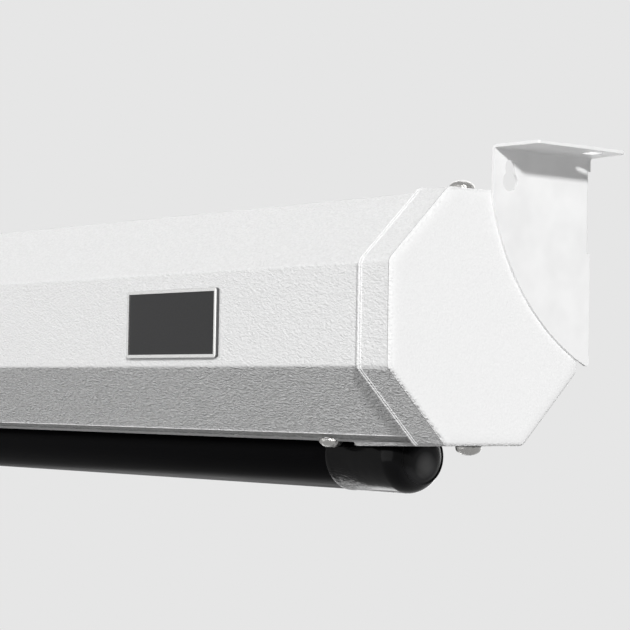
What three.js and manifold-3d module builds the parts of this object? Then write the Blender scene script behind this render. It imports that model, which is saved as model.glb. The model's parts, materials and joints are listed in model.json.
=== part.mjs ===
// Motorized projection screen with an octagonal case, shown rolled up with its weight bar docked.
// X runs along the case, +Y goes to the wall and +Z goes up, in millimetres.
// The origin is at the middle of the case, where the ceiling plane meets the wall plane.
import * as THREE from 'three';
import { mergeVertices } from 'three/addons/utils/BufferGeometryUtils.js';
import Module from 'manifold-3d';

const wasm = await Module();
wasm.setup();

// Case and its end caps
const caseLength = 2096;
const caseHeight = 98;
const caseDepth = 99.6;
const flatDepth = 40.8;
const flatHeight = 40.2;
const wallGap = 4;
const ceilingDrop = 16.9;
const capProud = 1.8;
const capWall = 1.6;
const capSkirt = 18.3;
const capFaceEdge = 2;
const capCornerRadius = 2.2;
const tongueLength = 39.2;
const tongueWidth = 6;
const tongueEdgeGap = 0.8;
const tongueTipRadius = 1.5;
const shellWall = 0.8;
const shellBendRadius = 2;
const shellEndGap = 0.3;
const hemThickness = 1.8;
const hemEdgeRadius = 0.5;
const hemRelief = 2;
const slotOffset = 3.2;
const slotWidth = 30.8;

// Folded end plates that carry the roller
const plateThickness = 2;
const plateInset = 20;
const plateEdgeGap = 0.3;
const plateBendRadius = 2.2;
const flangeTip = 3.2;
const topFlangeWidth = 24;
const bottomFlangeWidth = 22;
const plateFoldDepth = 8;
const footReach = 80;
const footWidth = 8;
const footEdgeGap = 0.2;
const footTipRadius = 2;

// Screws and nuts
const panRadius = 4.7;
const panHeight = 3.5;
const panRim = 1;
const shankRadius = 2.5;
const shankChamfer = 0.5;
const shankClearance = 0.3;
const threadClearance = 0.1;
const capScrewInset = 10;
const topScrewOffset = 5.3;
const topScrewLength = 8;
const bottomScrewLength = 9;
const lipScrewInset = 71.4;
const lipScrewEdge = 4.5;
const lipScrewLength = 6;
const headScrewLength = 9;
const nutAcross = 8;
const nutFlangeRadius = 5.6;
const nutFlangeHeight = 1.2;
const nutFlangeTaper = 0.6;
const nutFlangeEdge = 0.3;
const nutHeight = 4.6;

// Brackets
const bracketSheet = 1.2;
const bendRadius = 2.2;
const gussetReach = 53;
const gussetArcBehind = 34.7;
const gussetArcLift = 82.5;
const gussetArcRadius = 90.1;
const gussetFlatGap = 3;
const flangeReach = 22.8;
const flangeFrontSkew = 2.2;
const flangeBackSkew = 2.2;
const flangeFrontCorner = 1;
const flangeCornerRadius = 4;
const flangeHoleRadius = 3.85;
const flangeHoleReach = 14.5;
const flangeHoleFromWall = 13.2;
const keyholeRadius = 3.9;
const keyholeNeck = 5.1;
const keyholeLength = 8.35;
const gussetKeyholeFromWall = 44.3;
const gussetKeyholeDrop = -3.4;
const wallFlangeWidth = 23;
const wallFlangeTop = -10.5;
const wallFlangeBottom = 22;
const wallFlangeCorner = 5;
const wallKeyholeReach = 13;
const wallKeyholeDrop = 8;
const wallFoldDepth = 8;
const studLength = 8;
const upperStudFromWall = 28;
const upperStudFromSlope = 9.5;
const lowerStudFromWall = 18;
const lowerStudDrop = 44;

// Roller, fabric and weight bar
const rollFrontGap = 3.1;
const rollerWall = 1;
const rollerRise = 2;
const rollerInsetLeft = 50;
const rollerInsetRight = 34;
const fabricInset = 80.5;
const viewAspect = 16 / 9;
const sideBorder = 38;
const topDrop = 300;
const bottomBorder = 40;
const fabricReserve = 150;
const fabricThickness = 0.38;
const fabricGap = 0.3;
const sheetThickness = 0.4;
const barRadius = 14.3;
const barWall = 1.2;
const barHang = 4.8;
const barInset = 36.3;
const barCapProud = 0.4;
const barCapLength = 45;
const barCapFillet = 11;
const barCapWall = 2;
const keywayWidth = 2.4;
const hemRodRadius = 2.2;
const hemWall = 0.5;

// Idler end
const idlerPinRadius = 5;
const idlerPinOuter = 14;
const idlerPinInner = 76;
const idlerPinChamfer = 0.6;
const idlerPlugLength = 38;
const idlerPlugFlange = 2;
const idlerPlugHubWall = 3;
const idlerPlugRimWall = 2.2;
const idlerPlugRibs = 6;
const idlerPlugFloor = 3;
const bushWall = 3;
const bushProud = 0.5;
const bushFlangeRadius = 12;
const bushFlangeHeight = 2;
const bushChamfer = 0.4;
const runningClearance = 0.2;
const fitClearance = 0.3;
const clipThickness = 1.2;
const clipRadius = 8.5;
const clipOpening = 70;
const clipGrooveDepth = 1;
const clipGrooveRoom = 0.2;

// Tubular motor
const headMargin = 0.4;
const headLength = 23.6;
const headChamfer = 1;
const headNeckLength = 4;
const headBossRadius = 9;
const headBossHeight = 2;
const housingLength = 430;
const housingChamfer = 1.5;
const housingCrimps = [150, 290];
const housingCrimpDepth = 0.8;
const housingCrimpWidth = 6;
const shaftRadius = 6;
const shaftFlat = 4.6;
const shaftLength = 20;
const crownLength = 14;
const crownSkirt = 0.6;
const crownCollar = 1;
const crownLugWidth = 6;
const crownLugLength = 8;
const driveWheelGap = 3;
const driveWheelLength = 14;
const driveWheelHub = 9;
const driveWheelRim = 2.4;
const driveWheelSpokes = 6;
const driveWheelSpokeWidth = 2.6;
const driveWheelScrewSpoke = 8;
const driveScrewRadius = 2;
const driveScrewEngagement = 1.5;
const driveScrewSink = 0.4;
const limitScrewRadius = 3;
const limitScrewLength = 9;
const limitScrewSocket = 4;
const limitScrewSocketDepth = 5;
const limitScrewSpread = 7;
const limitScrewDrop = 12;
const headScrewEdge = 8;
const headScrewRise = 9;
const accessRadius = 3.6;

// Receiver box, its lead and the cord gland
const boxInset = 60;
const boxLength = 130;
const boxDepth = 30;
const boxHeight = 34;
const boxWall = 2;
const boxBackGap = 0.2;
const boxCorner = 3;
const boxCoverThickness = 3;
const leadRadius = 3;
const leadInset = 34;
const glandOffset = 2;
const glandRise = 18;
const glandBore = 3.7;
const glandThreadRadius = 8;
const glandHex = 22;
const glandHexHeight = 5;
const glandDomeHeight = 8;
const glandDomeInset = 1;
const glandDomeFillet = 5;
const glandReach = 12;
const glandNutHeight = 5;

// Facets of round shapes
const roundSteps = 24;
const rollSteps = 48;
const barSteps = 32;
const pinSteps = 20;
const holeSteps = 12;
const edgeSteps = 3;
const cutMargin = 1;
const fitGap = 0.1;

// The octagon, and the slot with its two lips, as depths from the front and drops from the top
const chamferRun = (caseDepth - flatDepth) / 2;
const chamferRise = (caseHeight - flatHeight) / 2;
const chamferLength = Math.hypot(chamferRun, chamferRise);
const wallPlane = caseDepth + wallGap;
const bandTop = caseHeight - capProud - hemThickness;
const slotCentre = caseDepth / 2 + slotOffset;
const slotFront = slotCentre - slotWidth / 2;
const slotBack = slotCentre + slotWidth / 2;
const topScrewDepth = caseDepth / 2 - topScrewOffset;
const bottomScrewDepth = caseDepth / 2;
const lipScrewDepth = slotFront - lipScrewEdge;
const tongueBack = slotFront - tongueEdgeGap;
const footBack = slotFront - footEdgeGap;
const glandDepth = slotCentre - glandOffset;
const glandDrop = caseHeight - glandRise;
const boxDrop = (caseHeight - boxHeight) / 2;
const gussetFront = wallPlane - gussetReach;
const gussetBottom = caseHeight - chamferRise - gussetFlatGap;
const gussetArcDrop = gussetBottom - gussetArcLift;
const slopeDropAtStud = chamferRise * (1 - (upperStudFromWall - wallGap) / chamferRun);
const upperStudDrop = slopeDropAtStud + (upperStudFromSlope * chamferLength) / chamferRun;
const studPlaces = [
  [wallPlane - upperStudFromWall, upperStudDrop],
  [wallPlane - lowerStudFromWall, lowerStudDrop],
];

// The fabric, and the roll that fills the room between the front wall and the slot's middle
const fabricWidth = caseLength - 2 * fabricInset;
const viewHeight = (fabricWidth - 2 * sideBorder) / viewAspect;
const travel = topDrop + viewHeight + bottomBorder;
const woundArea = (travel + fabricReserve) * fabricThickness;
const rollBack = slotCentre - sheetThickness / 2 - fabricGap;
const fabricOuter = (rollBack - capProud - shellWall - rollFrontGap) / 2;
const rollerRadius = Math.sqrt(fabricOuter ** 2 - woundArea / Math.PI);
const rollerDepth = rollBack - fabricOuter;
const rollerDrop = caseHeight / 2 - rollerRise;
const barDrop = caseHeight + barHang;
const tubeBore = rollerRadius - rollerWall;
const housingRadius = tubeBore - crownSkirt - 2 * runningClearance;
const headRadius = fabricOuter - headMargin;

// Places along the case, as distances from its end
const plateFar = plateInset + plateThickness;
const bushFace = plateInset - bushProud;
const clipInset = bushFace - fitClearance - clipThickness;
const headStart = plateFar + fitGap;
const housingStart = headStart + headLength;
const housingEnd = housingStart + housingLength;
const wheelStart = housingEnd + driveWheelGap;
const wheelMiddle = wheelStart + driveWheelLength / 2;

// Fits: bores, screw places, the hem's height in the bar, and the receiver box with its lead
const plainHole = shankRadius + shankClearance;
const threadHole = shankRadius + threadClearance;
const bushBore = idlerPinRadius + runningClearance;
const bushOuter = bushBore + bushWall;
const crownBore = housingRadius + runningClearance;
const limitScrewPlaces = [-1, 1].map((hand) => [
  rollerDepth + hand * limitScrewSpread,
  rollerDrop + limitScrewDrop,
]);
const headScrewPlaces = [-1, 1].map((hand) => [
  rollerDepth + hand * (headRadius - headScrewEdge),
  rollerDrop - headScrewRise,
]);
const hemRadius = hemRodRadius + hemWall;
const hemDrop = barDrop - barRadius + barWall + hemRadius + fitClearance;
const boxBack = caseDepth - capProud - shellWall - boxBackGap;
const boxFront = boxBack - boxDepth;
const leadStart = [leadInset, rollerDepth + headRadius - 4, rollerDrop];
const leadEnd = [boxInset + 4, boxFront + boxDepth / 2 + 2, boxDrop + boxHeight / 2];

const fromFront = (depth) => depth - caseDepth - wallGap;
const fromTop = (drop) => -ceilingDrop - drop;
const fromEnd = (side, inset) => side * (caseLength / 2 - inset);
const span = (side, from, to) => [fromEnd(side, from), fromEnd(side, to)].sort((a, b) => a - b);
const sections = (pairs) => pairs.map(([depth, drop]) => new THREE.Vector2(fromFront(depth), fromTop(drop)));
const corners = (pairs) => pairs.map(([u, v]) => new THREE.Vector2(u, v));

// Solids and booleans
function toSolid(geometry) {
  const bare = geometry.clone();
  bare.deleteAttribute('normal');
  bare.deleteAttribute('uv');
  const merged = mergeVertices(bare, 1e-5);
  const index = merged.index.array;
  const triangles = [];
  for (let i = 0; i < index.length; i += 3) {
    const [a, b, c] = [index[i], index[i + 1], index[i + 2]];
    if (a !== b && b !== c && c !== a) triangles.push(a, b, c);
  }
  const vertProperties = new Float32Array(merged.attributes.position.array);
  return new wasm.Manifold(new wasm.Mesh({ numProp: 3, vertProperties, triVerts: new Uint32Array(triangles) }));
}

function toGeometry(solid) {
  const { vertProperties, triVerts } = solid.getMesh();
  const geometry = new THREE.BufferGeometry();
  geometry.setAttribute('position', new THREE.BufferAttribute(vertProperties, 3));
  geometry.setIndex(new THREE.BufferAttribute(triVerts, 1));
  geometry.computeVertexNormals();
  return geometry;
}

const cut = (solid, geometry) => solid.subtract(toSolid(geometry));
const join = (solid, geometry) => solid.add(toSolid(geometry));

// An outline with each corner turned into an arc
function roundCorners(points, radius, steps = edgeSteps) {
  const rounded = [];
  points.forEach((corner, i) => {
    const size = Array.isArray(radius) ? radius[i] : radius;
    if (size === 0) {
      rounded.push(corner);
      return;
    }
    const before = points[(i + points.length - 1) % points.length].clone().sub(corner).normalize();
    const after = points[(i + 1) % points.length].clone().sub(corner).normalize();
    const half = Math.acos(THREE.MathUtils.clamp(before.dot(after), -1, 1)) / 2;
    const centre = before.clone().add(after).setLength(size / Math.sin(half)).add(corner);
    const start = before.multiplyScalar(size / Math.tan(half)).add(corner).sub(centre).angle();
    const end = after.multiplyScalar(size / Math.tan(half)).add(corner).sub(centre).angle();
    const turn = Math.atan2(Math.sin(end - start), Math.cos(end - start));
    for (let k = 0; k <= steps; k += 1) {
      const angle = start + (turn * k) / steps;
      rounded.push(new THREE.Vector2(size * Math.cos(angle), size * Math.sin(angle)).add(centre));
    }
  });
  return rounded;
}

function prism(points, holes, length) {
  const shape = new THREE.Shape(points);
  shape.holes = holes.map((hole) => new THREE.Path(hole));
  return new THREE.ExtrudeGeometry(shape, { depth: length, bevelEnabled: false, curveSegments: roundSteps });
}

// Prisms whose outlines lie in the YZ, XZ or XY plane, and which run from low to high
function alongX(points, from, to, holes = []) {
  const axes = new THREE.Matrix4().makeBasis(
    new THREE.Vector3(0, 1, 0), new THREE.Vector3(0, 0, 1), new THREE.Vector3(1, 0, 0));
  return prism(points, holes, Math.abs(to - from)).applyMatrix4(axes).translate(Math.min(from, to), 0, 0);
}

function alongY(points, from, to, holes = []) {
  const axes = new THREE.Matrix4().makeBasis(
    new THREE.Vector3(1, 0, 0), new THREE.Vector3(0, 0, 1), new THREE.Vector3(0, -1, 0));
  return prism(points, holes, Math.abs(to - from)).applyMatrix4(axes).translate(0, Math.max(from, to), 0);
}

function alongZ(points, from, to, holes = []) {
  return prism(points, holes, Math.abs(to - from)).translate(0, 0, Math.min(from, to));
}

function circle(u, v, radius, steps = roundSteps) {
  return new THREE.EllipseCurve(u, v, radius, radius).getPoints(steps).slice(0, steps);
}

// A turned piece about X: each pair is a place along X and a radius, from axis to axis
function turned(pairs, steps = roundSteps) {
  const profile = pairs.map(([along, radius]) => new THREE.Vector2(radius, along));
  if (THREE.ShapeUtils.area(profile) < 0) profile.reverse();
  return new THREE.LatheGeometry(profile, steps).rotateZ(-Math.PI / 2);
}

function box(low, high) {
  const size = high.map((value, i) => value - low[i]);
  const centre = high.map((value, i) => (value + low[i]) / 2);
  return new THREE.BoxGeometry(...size).translate(...centre);
}

// Round bars and bores: upright at an inset and a depth, or along the case at a depth and a drop
function uprightRound(side, inset, depth, radius, drops) {
  const section = circle(fromEnd(side, inset), fromFront(depth), radius, holeSteps);
  return alongZ(section, fromTop(drops[0]), fromTop(drops[1]));
}

function levelRound(side, depth, drop, radius, insets, steps = holeSteps) {
  const section = circle(fromFront(depth), fromTop(drop), radius, steps);
  return alongX(section, ...span(side, ...insets));
}

// The octagon of the case, drawn inwards by an inset, as places from the front and from the top
function octagon(inset) {
  const reach = chamferRun * chamferRise + inset * chamferLength;
  const run = (reach - chamferRun * inset) / chamferRise;
  const rise = (reach - chamferRise * inset) / chamferRun;
  const back = caseDepth - inset;
  const bottom = caseHeight - inset;
  return {
    backBottom: [back, caseHeight - rise],
    backTop: [back, rise],
    topBack: [caseDepth - run, inset],
    topFront: [run, inset],
    frontTop: [inset, rise],
    frontBottom: [inset, caseHeight - rise],
    bottomFront: [run, bottom],
    bottomBack: [caseDepth - run, bottom],
  };
}

// Depth from the front at which the lower slope, drawn inwards by an inset, reaches a drop
function slopeDepth(inset, drop) {
  const reach = chamferRun * chamferRise + inset * chamferLength;
  return (reach - chamferRun * (caseHeight - drop)) / chamferRise;
}

function octagonOutline(inset, radius) {
  return roundCorners(sections(Object.values(octagon(inset))), radius);
}

// The roll-formed shell: six bends, and a doubled hem along each lip of the slot
function shellOutline() {
  const outer = octagon(capProud);
  const inner = octagon(capProud + shellWall);
  const bottom = caseHeight - capProud;
  const outerFoot = slopeDepth(capProud, bandTop);
  const innerFoot = slopeDepth(capProud + shellWall, bandTop);
  const path = [
    [slotBack, bottom], [caseDepth - outerFoot, bottom], [caseDepth - outerFoot, bandTop],
    outer.backBottom, outer.backTop, outer.topBack, outer.topFront, outer.frontTop, outer.frontBottom,
    [outerFoot, bandTop], [outerFoot, bottom], [slotFront, bottom], [slotFront, bandTop], [innerFoot, bandTop],
    inner.frontBottom, inner.frontTop, inner.topFront, inner.topBack, inner.backTop, inner.backBottom,
    [caseDepth - innerFoot, bandTop], [slotBack, bandTop],
  ];
  const hem = hemEdgeRadius;
  const outsideBends = Array(6).fill(shellBendRadius);
  const insideBends = Array(6).fill(shellBendRadius - shellWall);
  const radii = [hem, hem, 0, ...outsideBends, 0, hem, hem, hem, 0, ...insideBends, 0, hem];
  return roundCorners(sections(path), radii);
}

// The shell's ends are relieved where the caps' skirts go over the hems
function caseShell() {
  const end = caseLength / 2 - capWall - shellEndGap;
  const topSheet = capProud + shellWall;
  const aroundHems = sections([
    [-cutMargin, bandTop - hemRelief], [-cutMargin, caseHeight],
    [caseDepth + cutMargin, caseHeight], [caseDepth + cutMargin, bandTop - hemRelief],
  ]);
  let shell = toSolid(alongX(shellOutline(), -end, end));
  for (const side of [-1, 1]) {
    const skirt = span(side, capSkirt + fitClearance, -cutMargin);
    const kept = alongX(octagonOutline(capProud, shellWall), skirt[0] - cutMargin, skirt[1] + cutMargin);
    const outsideHems = cut(toSolid(alongX(aroundHems, ...skirt)), kept);
    shell = shell.subtract(outsideHems);
    shell = cut(shell, uprightRound(side, capScrewInset, topScrewDepth, plainHole, [0, topSheet + cutMargin]));
    shell = cut(shell, uprightRound(
      side, lipScrewInset, lipScrewDepth, plainHole, [bandTop - cutMargin, caseHeight]));
  }
  return toGeometry(shell);
}

// Outer form of a cap: octagons stacked along X, drawn in over a rounded edge at the face
function capBlock(side) {
  const rings = [];
  for (let k = 0; k <= edgeSteps; k += 1) {
    const angle = (Math.PI / 2) * (k / edgeSteps);
    rings.push({ inset: capFaceEdge * (1 - Math.sin(angle)), reach: capFaceEdge * (1 - Math.cos(angle)) });
  }
  rings.push({ inset: 0, reach: capSkirt });
  const outlines = rings.map(({ inset }) => octagonOutline(inset, capCornerRadius));
  const count = outlines[0].length;
  const positions = [];
  outlines.forEach((outline, i) => outline.forEach((point) => {
    positions.push(fromEnd(side, rings[i].reach), point.x, point.y);
  }));
  const index = [];
  const addTriangle = (a, b, c) => index.push(...(side > 0 ? [a, b, c] : [a, c, b]));
  for (let i = 0; i < rings.length - 1; i += 1) {
    for (let j = 0; j < count; j += 1) {
      const next = (j + 1) % count;
      const [a, b] = [i * count + j, i * count + next];
      addTriangle(a, a + count, b);
      addTriangle(b, a + count, b + count);
    }
  }
  const last = (rings.length - 1) * count;
  for (let j = 1; j < count - 1; j += 1) {
    addTriangle(0, j, j + 1);
    addTriangle(last, last + j + 1, last + j);
  }
  const geometry = new THREE.BufferGeometry();
  geometry.setAttribute('position', new THREE.Float32BufferAttribute(positions, 3));
  geometry.setIndex(index);
  return geometry;
}

function endCap(side) {
  const hollow = alongX(
    octagonOutline(capWall, capCornerRadius - capWall / 2), ...span(side, capWall, capSkirt + cutMargin));
  const ends = [fromEnd(side, capSkirt - capWall), fromEnd(side, capSkirt + tongueLength)];
  const tongue = roundCorners(corners([
    [ends[0], fromFront(tongueBack - tongueWidth)], [ends[1], fromFront(tongueBack - tongueWidth)],
    [ends[1], fromFront(tongueBack)], [ends[0], fromFront(tongueBack)],
  ]), [0, tongueTipRadius, tongueTipRadius, 0]);
  const bottomWall = [caseHeight - capWall - cutMargin, caseHeight + cutMargin];
  const face = [-cutMargin, capWall + cutMargin];

  let cap = cut(toSolid(capBlock(side)), hollow);
  cap = join(cap, alongZ(tongue, fromTop(caseHeight), fromTop(caseHeight - capWall)));
  cap = cut(cap, uprightRound(side, capScrewInset, topScrewDepth, plainHole, face));
  cap = cut(cap, uprightRound(side, capScrewInset, bottomScrewDepth, plainHole, bottomWall));
  for (const [depth, drop] of studPlaces) {
    cap = cut(cap, levelRound(side, depth, drop, plainHole, face));
  }
  if (side < 0) {
    cap = cut(cap, levelRound(side, glandDepth, glandDrop, glandThreadRadius + fitClearance, face, roundSteps));
    for (const [depth, drop] of limitScrewPlaces) {
      cap = cut(cap, levelRound(side, depth, drop, accessRadius, face));
    }
  }
  return toGeometry(cap);
}

// A screw standing along +Z, with its washer face at z = 0
function panScrew(shankLength) {
  const profile = [];
  for (let k = 0; k <= edgeSteps; k += 1) {
    const angle = (Math.PI / 2) * (k / edgeSteps);
    profile.push([panRim + (panHeight - panRim) * Math.cos(angle), panRadius * Math.sin(angle)]);
  }
  profile.push([0, panRadius], [0, shankRadius], [shankChamfer - shankLength, shankRadius]);
  profile.push([-shankLength, shankRadius - shankChamfer], [-shankLength, 0]);
  return turned(profile, holeSteps).rotateY(-Math.PI / 2);
}

// A flanged hex nut along X with its flange face at x = 0 and its body towards -X
function flangeNut() {
  const hex = circle(0, 0, nutAcross / Math.sqrt(3), 6);
  const flange = turned([
    [-nutFlangeHeight, 0], [-nutFlangeHeight, nutFlangeRadius - nutFlangeTaper],
    [-nutFlangeEdge, nutFlangeRadius], [0, nutFlangeRadius], [0, 0],
  ], holeSteps);
  const body = join(toSolid(alongX(hex, -nutHeight, -nutFlangeHeight / 2)), flange);
  return toGeometry(cut(body, alongX(circle(0, 0, threadHole, holeSteps), -nutHeight - cutMargin, cutMargin)));
}

// A keyhole: a round hole and a narrower neck above it that ends in a half circle
function keyhole(u, v) {
  const neck = keyholeNeck / 2;
  const joinAngle = Math.asin(neck / keyholeRadius);
  const capRise = keyholeLength - neck;
  const points = [];
  for (let k = 0; k <= pinSteps; k += 1) {
    const angle = Math.PI / 2 + joinAngle + ((2 * Math.PI - 2 * joinAngle) * k) / pinSteps;
    points.push(new THREE.Vector2(u + keyholeRadius * Math.cos(angle), v + keyholeRadius * Math.sin(angle)));
  }
  for (let k = 0; k <= 2 * edgeSteps; k += 1) {
    const angle = (Math.PI * k) / (2 * edgeSteps);
    points.push(new THREE.Vector2(u + neck * Math.cos(angle), v + capRise + neck * Math.sin(angle)));
  }
  return points;
}

// Side view of the gusset: its front edge curves back to the wall along an arc
function gussetOutline() {
  const arcDepth = wallPlane + gussetArcBehind;
  const arcTop = Math.sqrt(gussetArcRadius ** 2 - (arcDepth - gussetFront) ** 2);
  const startAngle = Math.asin(arcTop / gussetArcRadius);
  const endAngle = Math.asin(gussetArcLift / gussetArcRadius);
  const above = -ceilingDrop - cutMargin;
  const points = [[wallPlane, above], [gussetFront, above]];
  for (let k = 0; k <= roundSteps; k += 1) {
    const angle = startAngle + ((endAngle - startAngle) * k) / roundSteps;
    points.push([
      arcDepth - gussetArcRadius * Math.cos(angle),
      gussetArcRadius * Math.sin(angle) + gussetArcDrop,
    ]);
  }
  points.push([wallPlane, gussetBottom]);
  return sections(points);
}

// The folded bracket, flat on the cap: gusset, ceiling flange turned outwards, wall flange turned inwards
function bracket(side) {
  const face = (reach) => fromEnd(side, -reach);
  const outer = bracketSheet;
  const insideBend = bendRadius - bracketSheet;
  const tip = flangeReach;
  const low = fromTop(gussetBottom + cutMargin);
  const wallFace = fromFront(wallPlane);
  const sheetFront = fromFront(wallPlane - bracketSheet);
  const foldFront = fromFront(wallPlane - wallFoldDepth);
  const elbow = roundCorners(corners([
    [face(0), low], [face(outer), low], [face(outer), -bracketSheet], [face(tip), -bracketSheet],
    [face(tip), 0], [face(0), 0],
  ]), [0, 0, insideBend, 0, 0, bendRadius]);
  const plan = roundCorners(corners([
    [face(-cutMargin), fromFront(gussetFront)], [face(outer), fromFront(gussetFront)],
    [face(tip), fromFront(gussetFront + flangeFrontSkew)], [face(tip), fromFront(wallPlane - flangeBackSkew)],
    [face(outer), wallFace], [face(-cutMargin), wallFace],
  ]), [0, 0, flangeFrontCorner, flangeCornerRadius, 0, 0]);
  let body = toSolid(alongY(elbow, fromFront(gussetFront) - cutMargin, wallFace + cutMargin));
  body = body.intersect(toSolid(alongX(gussetOutline(), face(-cutMargin), face(tip + cutMargin))));
  body = body.intersect(toSolid(alongZ(plan, low - cutMargin, cutMargin)));

  const heights = [fromTop(wallFlangeBottom), fromTop(wallFlangeTop)];
  const sheetSides = span(side, cutMargin, -outer - cutMargin);
  const foldRoom = box(
    [sheetSides[0], foldFront, heights[0]],
    [sheetSides[1], wallFace + cutMargin, heights[1]]);
  const wallTip = face(outer - wallFlangeWidth);
  const fold = roundCorners(corners([
    [face(outer), foldFront], [face(outer), wallFace], [wallTip, wallFace], [wallTip, sheetFront],
    [face(0), sheetFront], [face(0), foldFront],
  ]), [0, bendRadius, 0, 0, insideBend, 0]);
  const wallShape = roundCorners(corners([
    [face(outer + cutMargin), heights[0]], [face(outer + cutMargin), heights[1]],
    [wallTip, heights[1]], [wallTip, heights[0]],
  ]), [0, 0, wallFlangeCorner, wallFlangeCorner]);
  const wallFlange = toSolid(alongZ(fold, ...heights))
    .intersect(toSolid(alongY(wallShape, foldFront - cutMargin, wallFace + cutMargin)));
  body = cut(body, foldRoom).add(wallFlange);

  const holeDepth = wallPlane - flangeHoleFromWall;
  const ceilingHole = circle(face(flangeHoleReach), fromFront(holeDepth), flangeHoleRadius);
  const gussetHole = keyhole(fromFront(wallPlane - gussetKeyholeFromWall), fromTop(gussetKeyholeDrop));
  const wallHole = keyhole(face(outer - wallKeyholeReach), fromTop(wallKeyholeDrop));
  body = cut(body, alongZ(ceilingHole, -bracketSheet - cutMargin, cutMargin));
  body = cut(body, alongX(gussetHole, face(-cutMargin), face(outer + cutMargin)));
  body = cut(body, alongY(wallHole, sheetFront - cutMargin, wallFace + cutMargin));
  for (const [depth, drop] of studPlaces) {
    const reach = [studLength, -bracketSheet / 2];
    body = join(body, levelRound(side, depth, drop, shankRadius, reach));
  }
  return toGeometry(body);
}

// A flange folded from an end plate towards the cap, seen from the front
function plateFold(side, drop, downwards) {
  const at = (inset) => fromEnd(side, inset);
  const sheet = fromTop(drop + downwards * plateThickness);
  const deep = fromTop(drop + downwards * plateFoldDepth);
  return roundCorners(corners([
    [at(flangeTip), fromTop(drop)], [at(plateFar), fromTop(drop)], [at(plateFar), deep],
    [at(plateInset), deep], [at(plateInset), sheet], [at(flangeTip), sheet],
  ]), [0, plateBendRadius, 0, 0, plateBendRadius - plateThickness, 0]);
}

// A folded plate: octagonal web, flanges towards the cap at top and bottom, and a foot along the front lip
function endPlate(side, holes) {
  const edge = capProud + shellWall + plateEdgeGap;
  const floor = bandTop - plateEdgeGap;
  const shape = octagon(edge);
  const web = roundCorners(sections([
    shape.backBottom, shape.backTop, shape.topBack, shape.topFront, shape.frontTop, shape.frontBottom,
    [slopeDepth(edge, floor), floor], [caseDepth - slopeDepth(edge, floor), floor],
  ]), shellBendRadius);
  const throughWeb = [plateInset - cutMargin, plateFar + cutMargin];
  let plate = toSolid(alongX(web, ...span(side, plateInset, plateFar)));
  for (const [middle, width, drop, downwards] of [
    [topScrewDepth, topFlangeWidth, edge, 1],
    [bottomScrewDepth, bottomFlangeWidth, floor, -1],
  ]) {
    const sides = [fromFront(middle - width / 2), fromFront(middle + width / 2)];
    const [left, right] = span(side, ...throughWeb);
    const heights = [fromTop(drop - downwards * cutMargin), fromTop(drop + downwards * plateFoldDepth)];
    const notch = box([left, sides[0], Math.min(...heights)], [right, sides[1], Math.max(...heights)]);
    plate = cut(plate, notch);
    plate = join(plate, alongY(plateFold(side, drop, downwards), ...sides));
  }
  const footEnds = [fromEnd(side, plateInset), fromEnd(side, footReach)];
  const foot = roundCorners(corners([
    [footEnds[0], fromFront(footBack - footWidth)], [footEnds[1], fromFront(footBack - footWidth)],
    [footEnds[1], fromFront(footBack)], [footEnds[0], fromFront(footBack)],
  ]), [0, footTipRadius, footTipRadius, 0]);
  plate = join(plate, alongZ(foot, fromTop(floor), fromTop(floor - plateThickness)));

  const topSheet = [edge - cutMargin, edge + plateThickness + cutMargin];
  const bottomSheet = [floor - plateThickness - cutMargin, floor + cutMargin];
  plate = cut(plate, uprightRound(side, capScrewInset, topScrewDepth, threadHole, topSheet));
  plate = cut(plate, uprightRound(side, capScrewInset, bottomScrewDepth, threadHole, bottomSheet));
  plate = cut(plate, uprightRound(side, lipScrewInset, lipScrewDepth, threadHole, bottomSheet));
  for (const [depth, drop, radius] of holes) {
    const steps = radius > accessRadius ? roundSteps : holeSteps;
    plate = cut(plate, levelRound(side, depth, drop, radius, throughWeb, steps));
  }
  return toGeometry(plate);
}

function motorPlate() {
  return endPlate(-1, [
    [rollerDepth, rollerDrop, headBossRadius + fitClearance],
    ...limitScrewPlaces.map(([depth, drop]) => [depth, drop, accessRadius]),
    ...headScrewPlaces.map(([depth, drop]) => [depth, drop, plainHole]),
  ]);
}

function idlerPlate() {
  return endPlate(1, [[rollerDepth, rollerDrop, bushOuter + fitGap]]);
}

// Pieces turned about the roller's axis are made about X, each place being a distance from its end of the case
function turnedAt(side, pairs, steps = roundSteps) {
  const placed = pairs.map(([inset, radius]) => [fromEnd(side, inset), radius]);
  return turned(placed, steps).translate(0, fromFront(rollerDepth), fromTop(rollerDrop));
}

function onAxis(radius, steps = roundSteps) {
  return circle(fromFront(rollerDepth), fromTop(rollerDrop), radius, steps);
}

function idlerBush() {
  const flangeFace = plateFar + fitGap;
  const end = flangeFace + bushFlangeHeight;
  const body = turnedAt(1, [
    [bushFace, 0], [bushFace, bushOuter], [flangeFace, bushOuter], [flangeFace, bushFlangeRadius],
    [end - bushChamfer, bushFlangeRadius], [end, bushFlangeRadius - bushChamfer], [end, 0],
  ]);
  const bore = alongX(onAxis(bushBore), ...span(1, bushFace - cutMargin, end + cutMargin));
  return toGeometry(cut(toSolid(body), bore));
}

function idlerPin() {
  const groove = idlerPinRadius - clipGrooveDepth;
  const grooveStart = clipInset - clipGrooveRoom;
  const grooveEnd = clipInset + clipThickness + clipGrooveRoom;
  return turnedAt(1, [
    [idlerPinOuter, 0], [idlerPinOuter, idlerPinRadius - idlerPinChamfer],
    [idlerPinOuter + idlerPinChamfer, idlerPinRadius],
    [grooveStart, idlerPinRadius], [grooveStart, groove], [grooveEnd, groove], [grooveEnd, idlerPinRadius],
    [idlerPinInner - idlerPinChamfer, idlerPinRadius], [idlerPinInner, idlerPinRadius - idlerPinChamfer],
    [idlerPinInner, 0],
  ], pinSteps);
}

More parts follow.
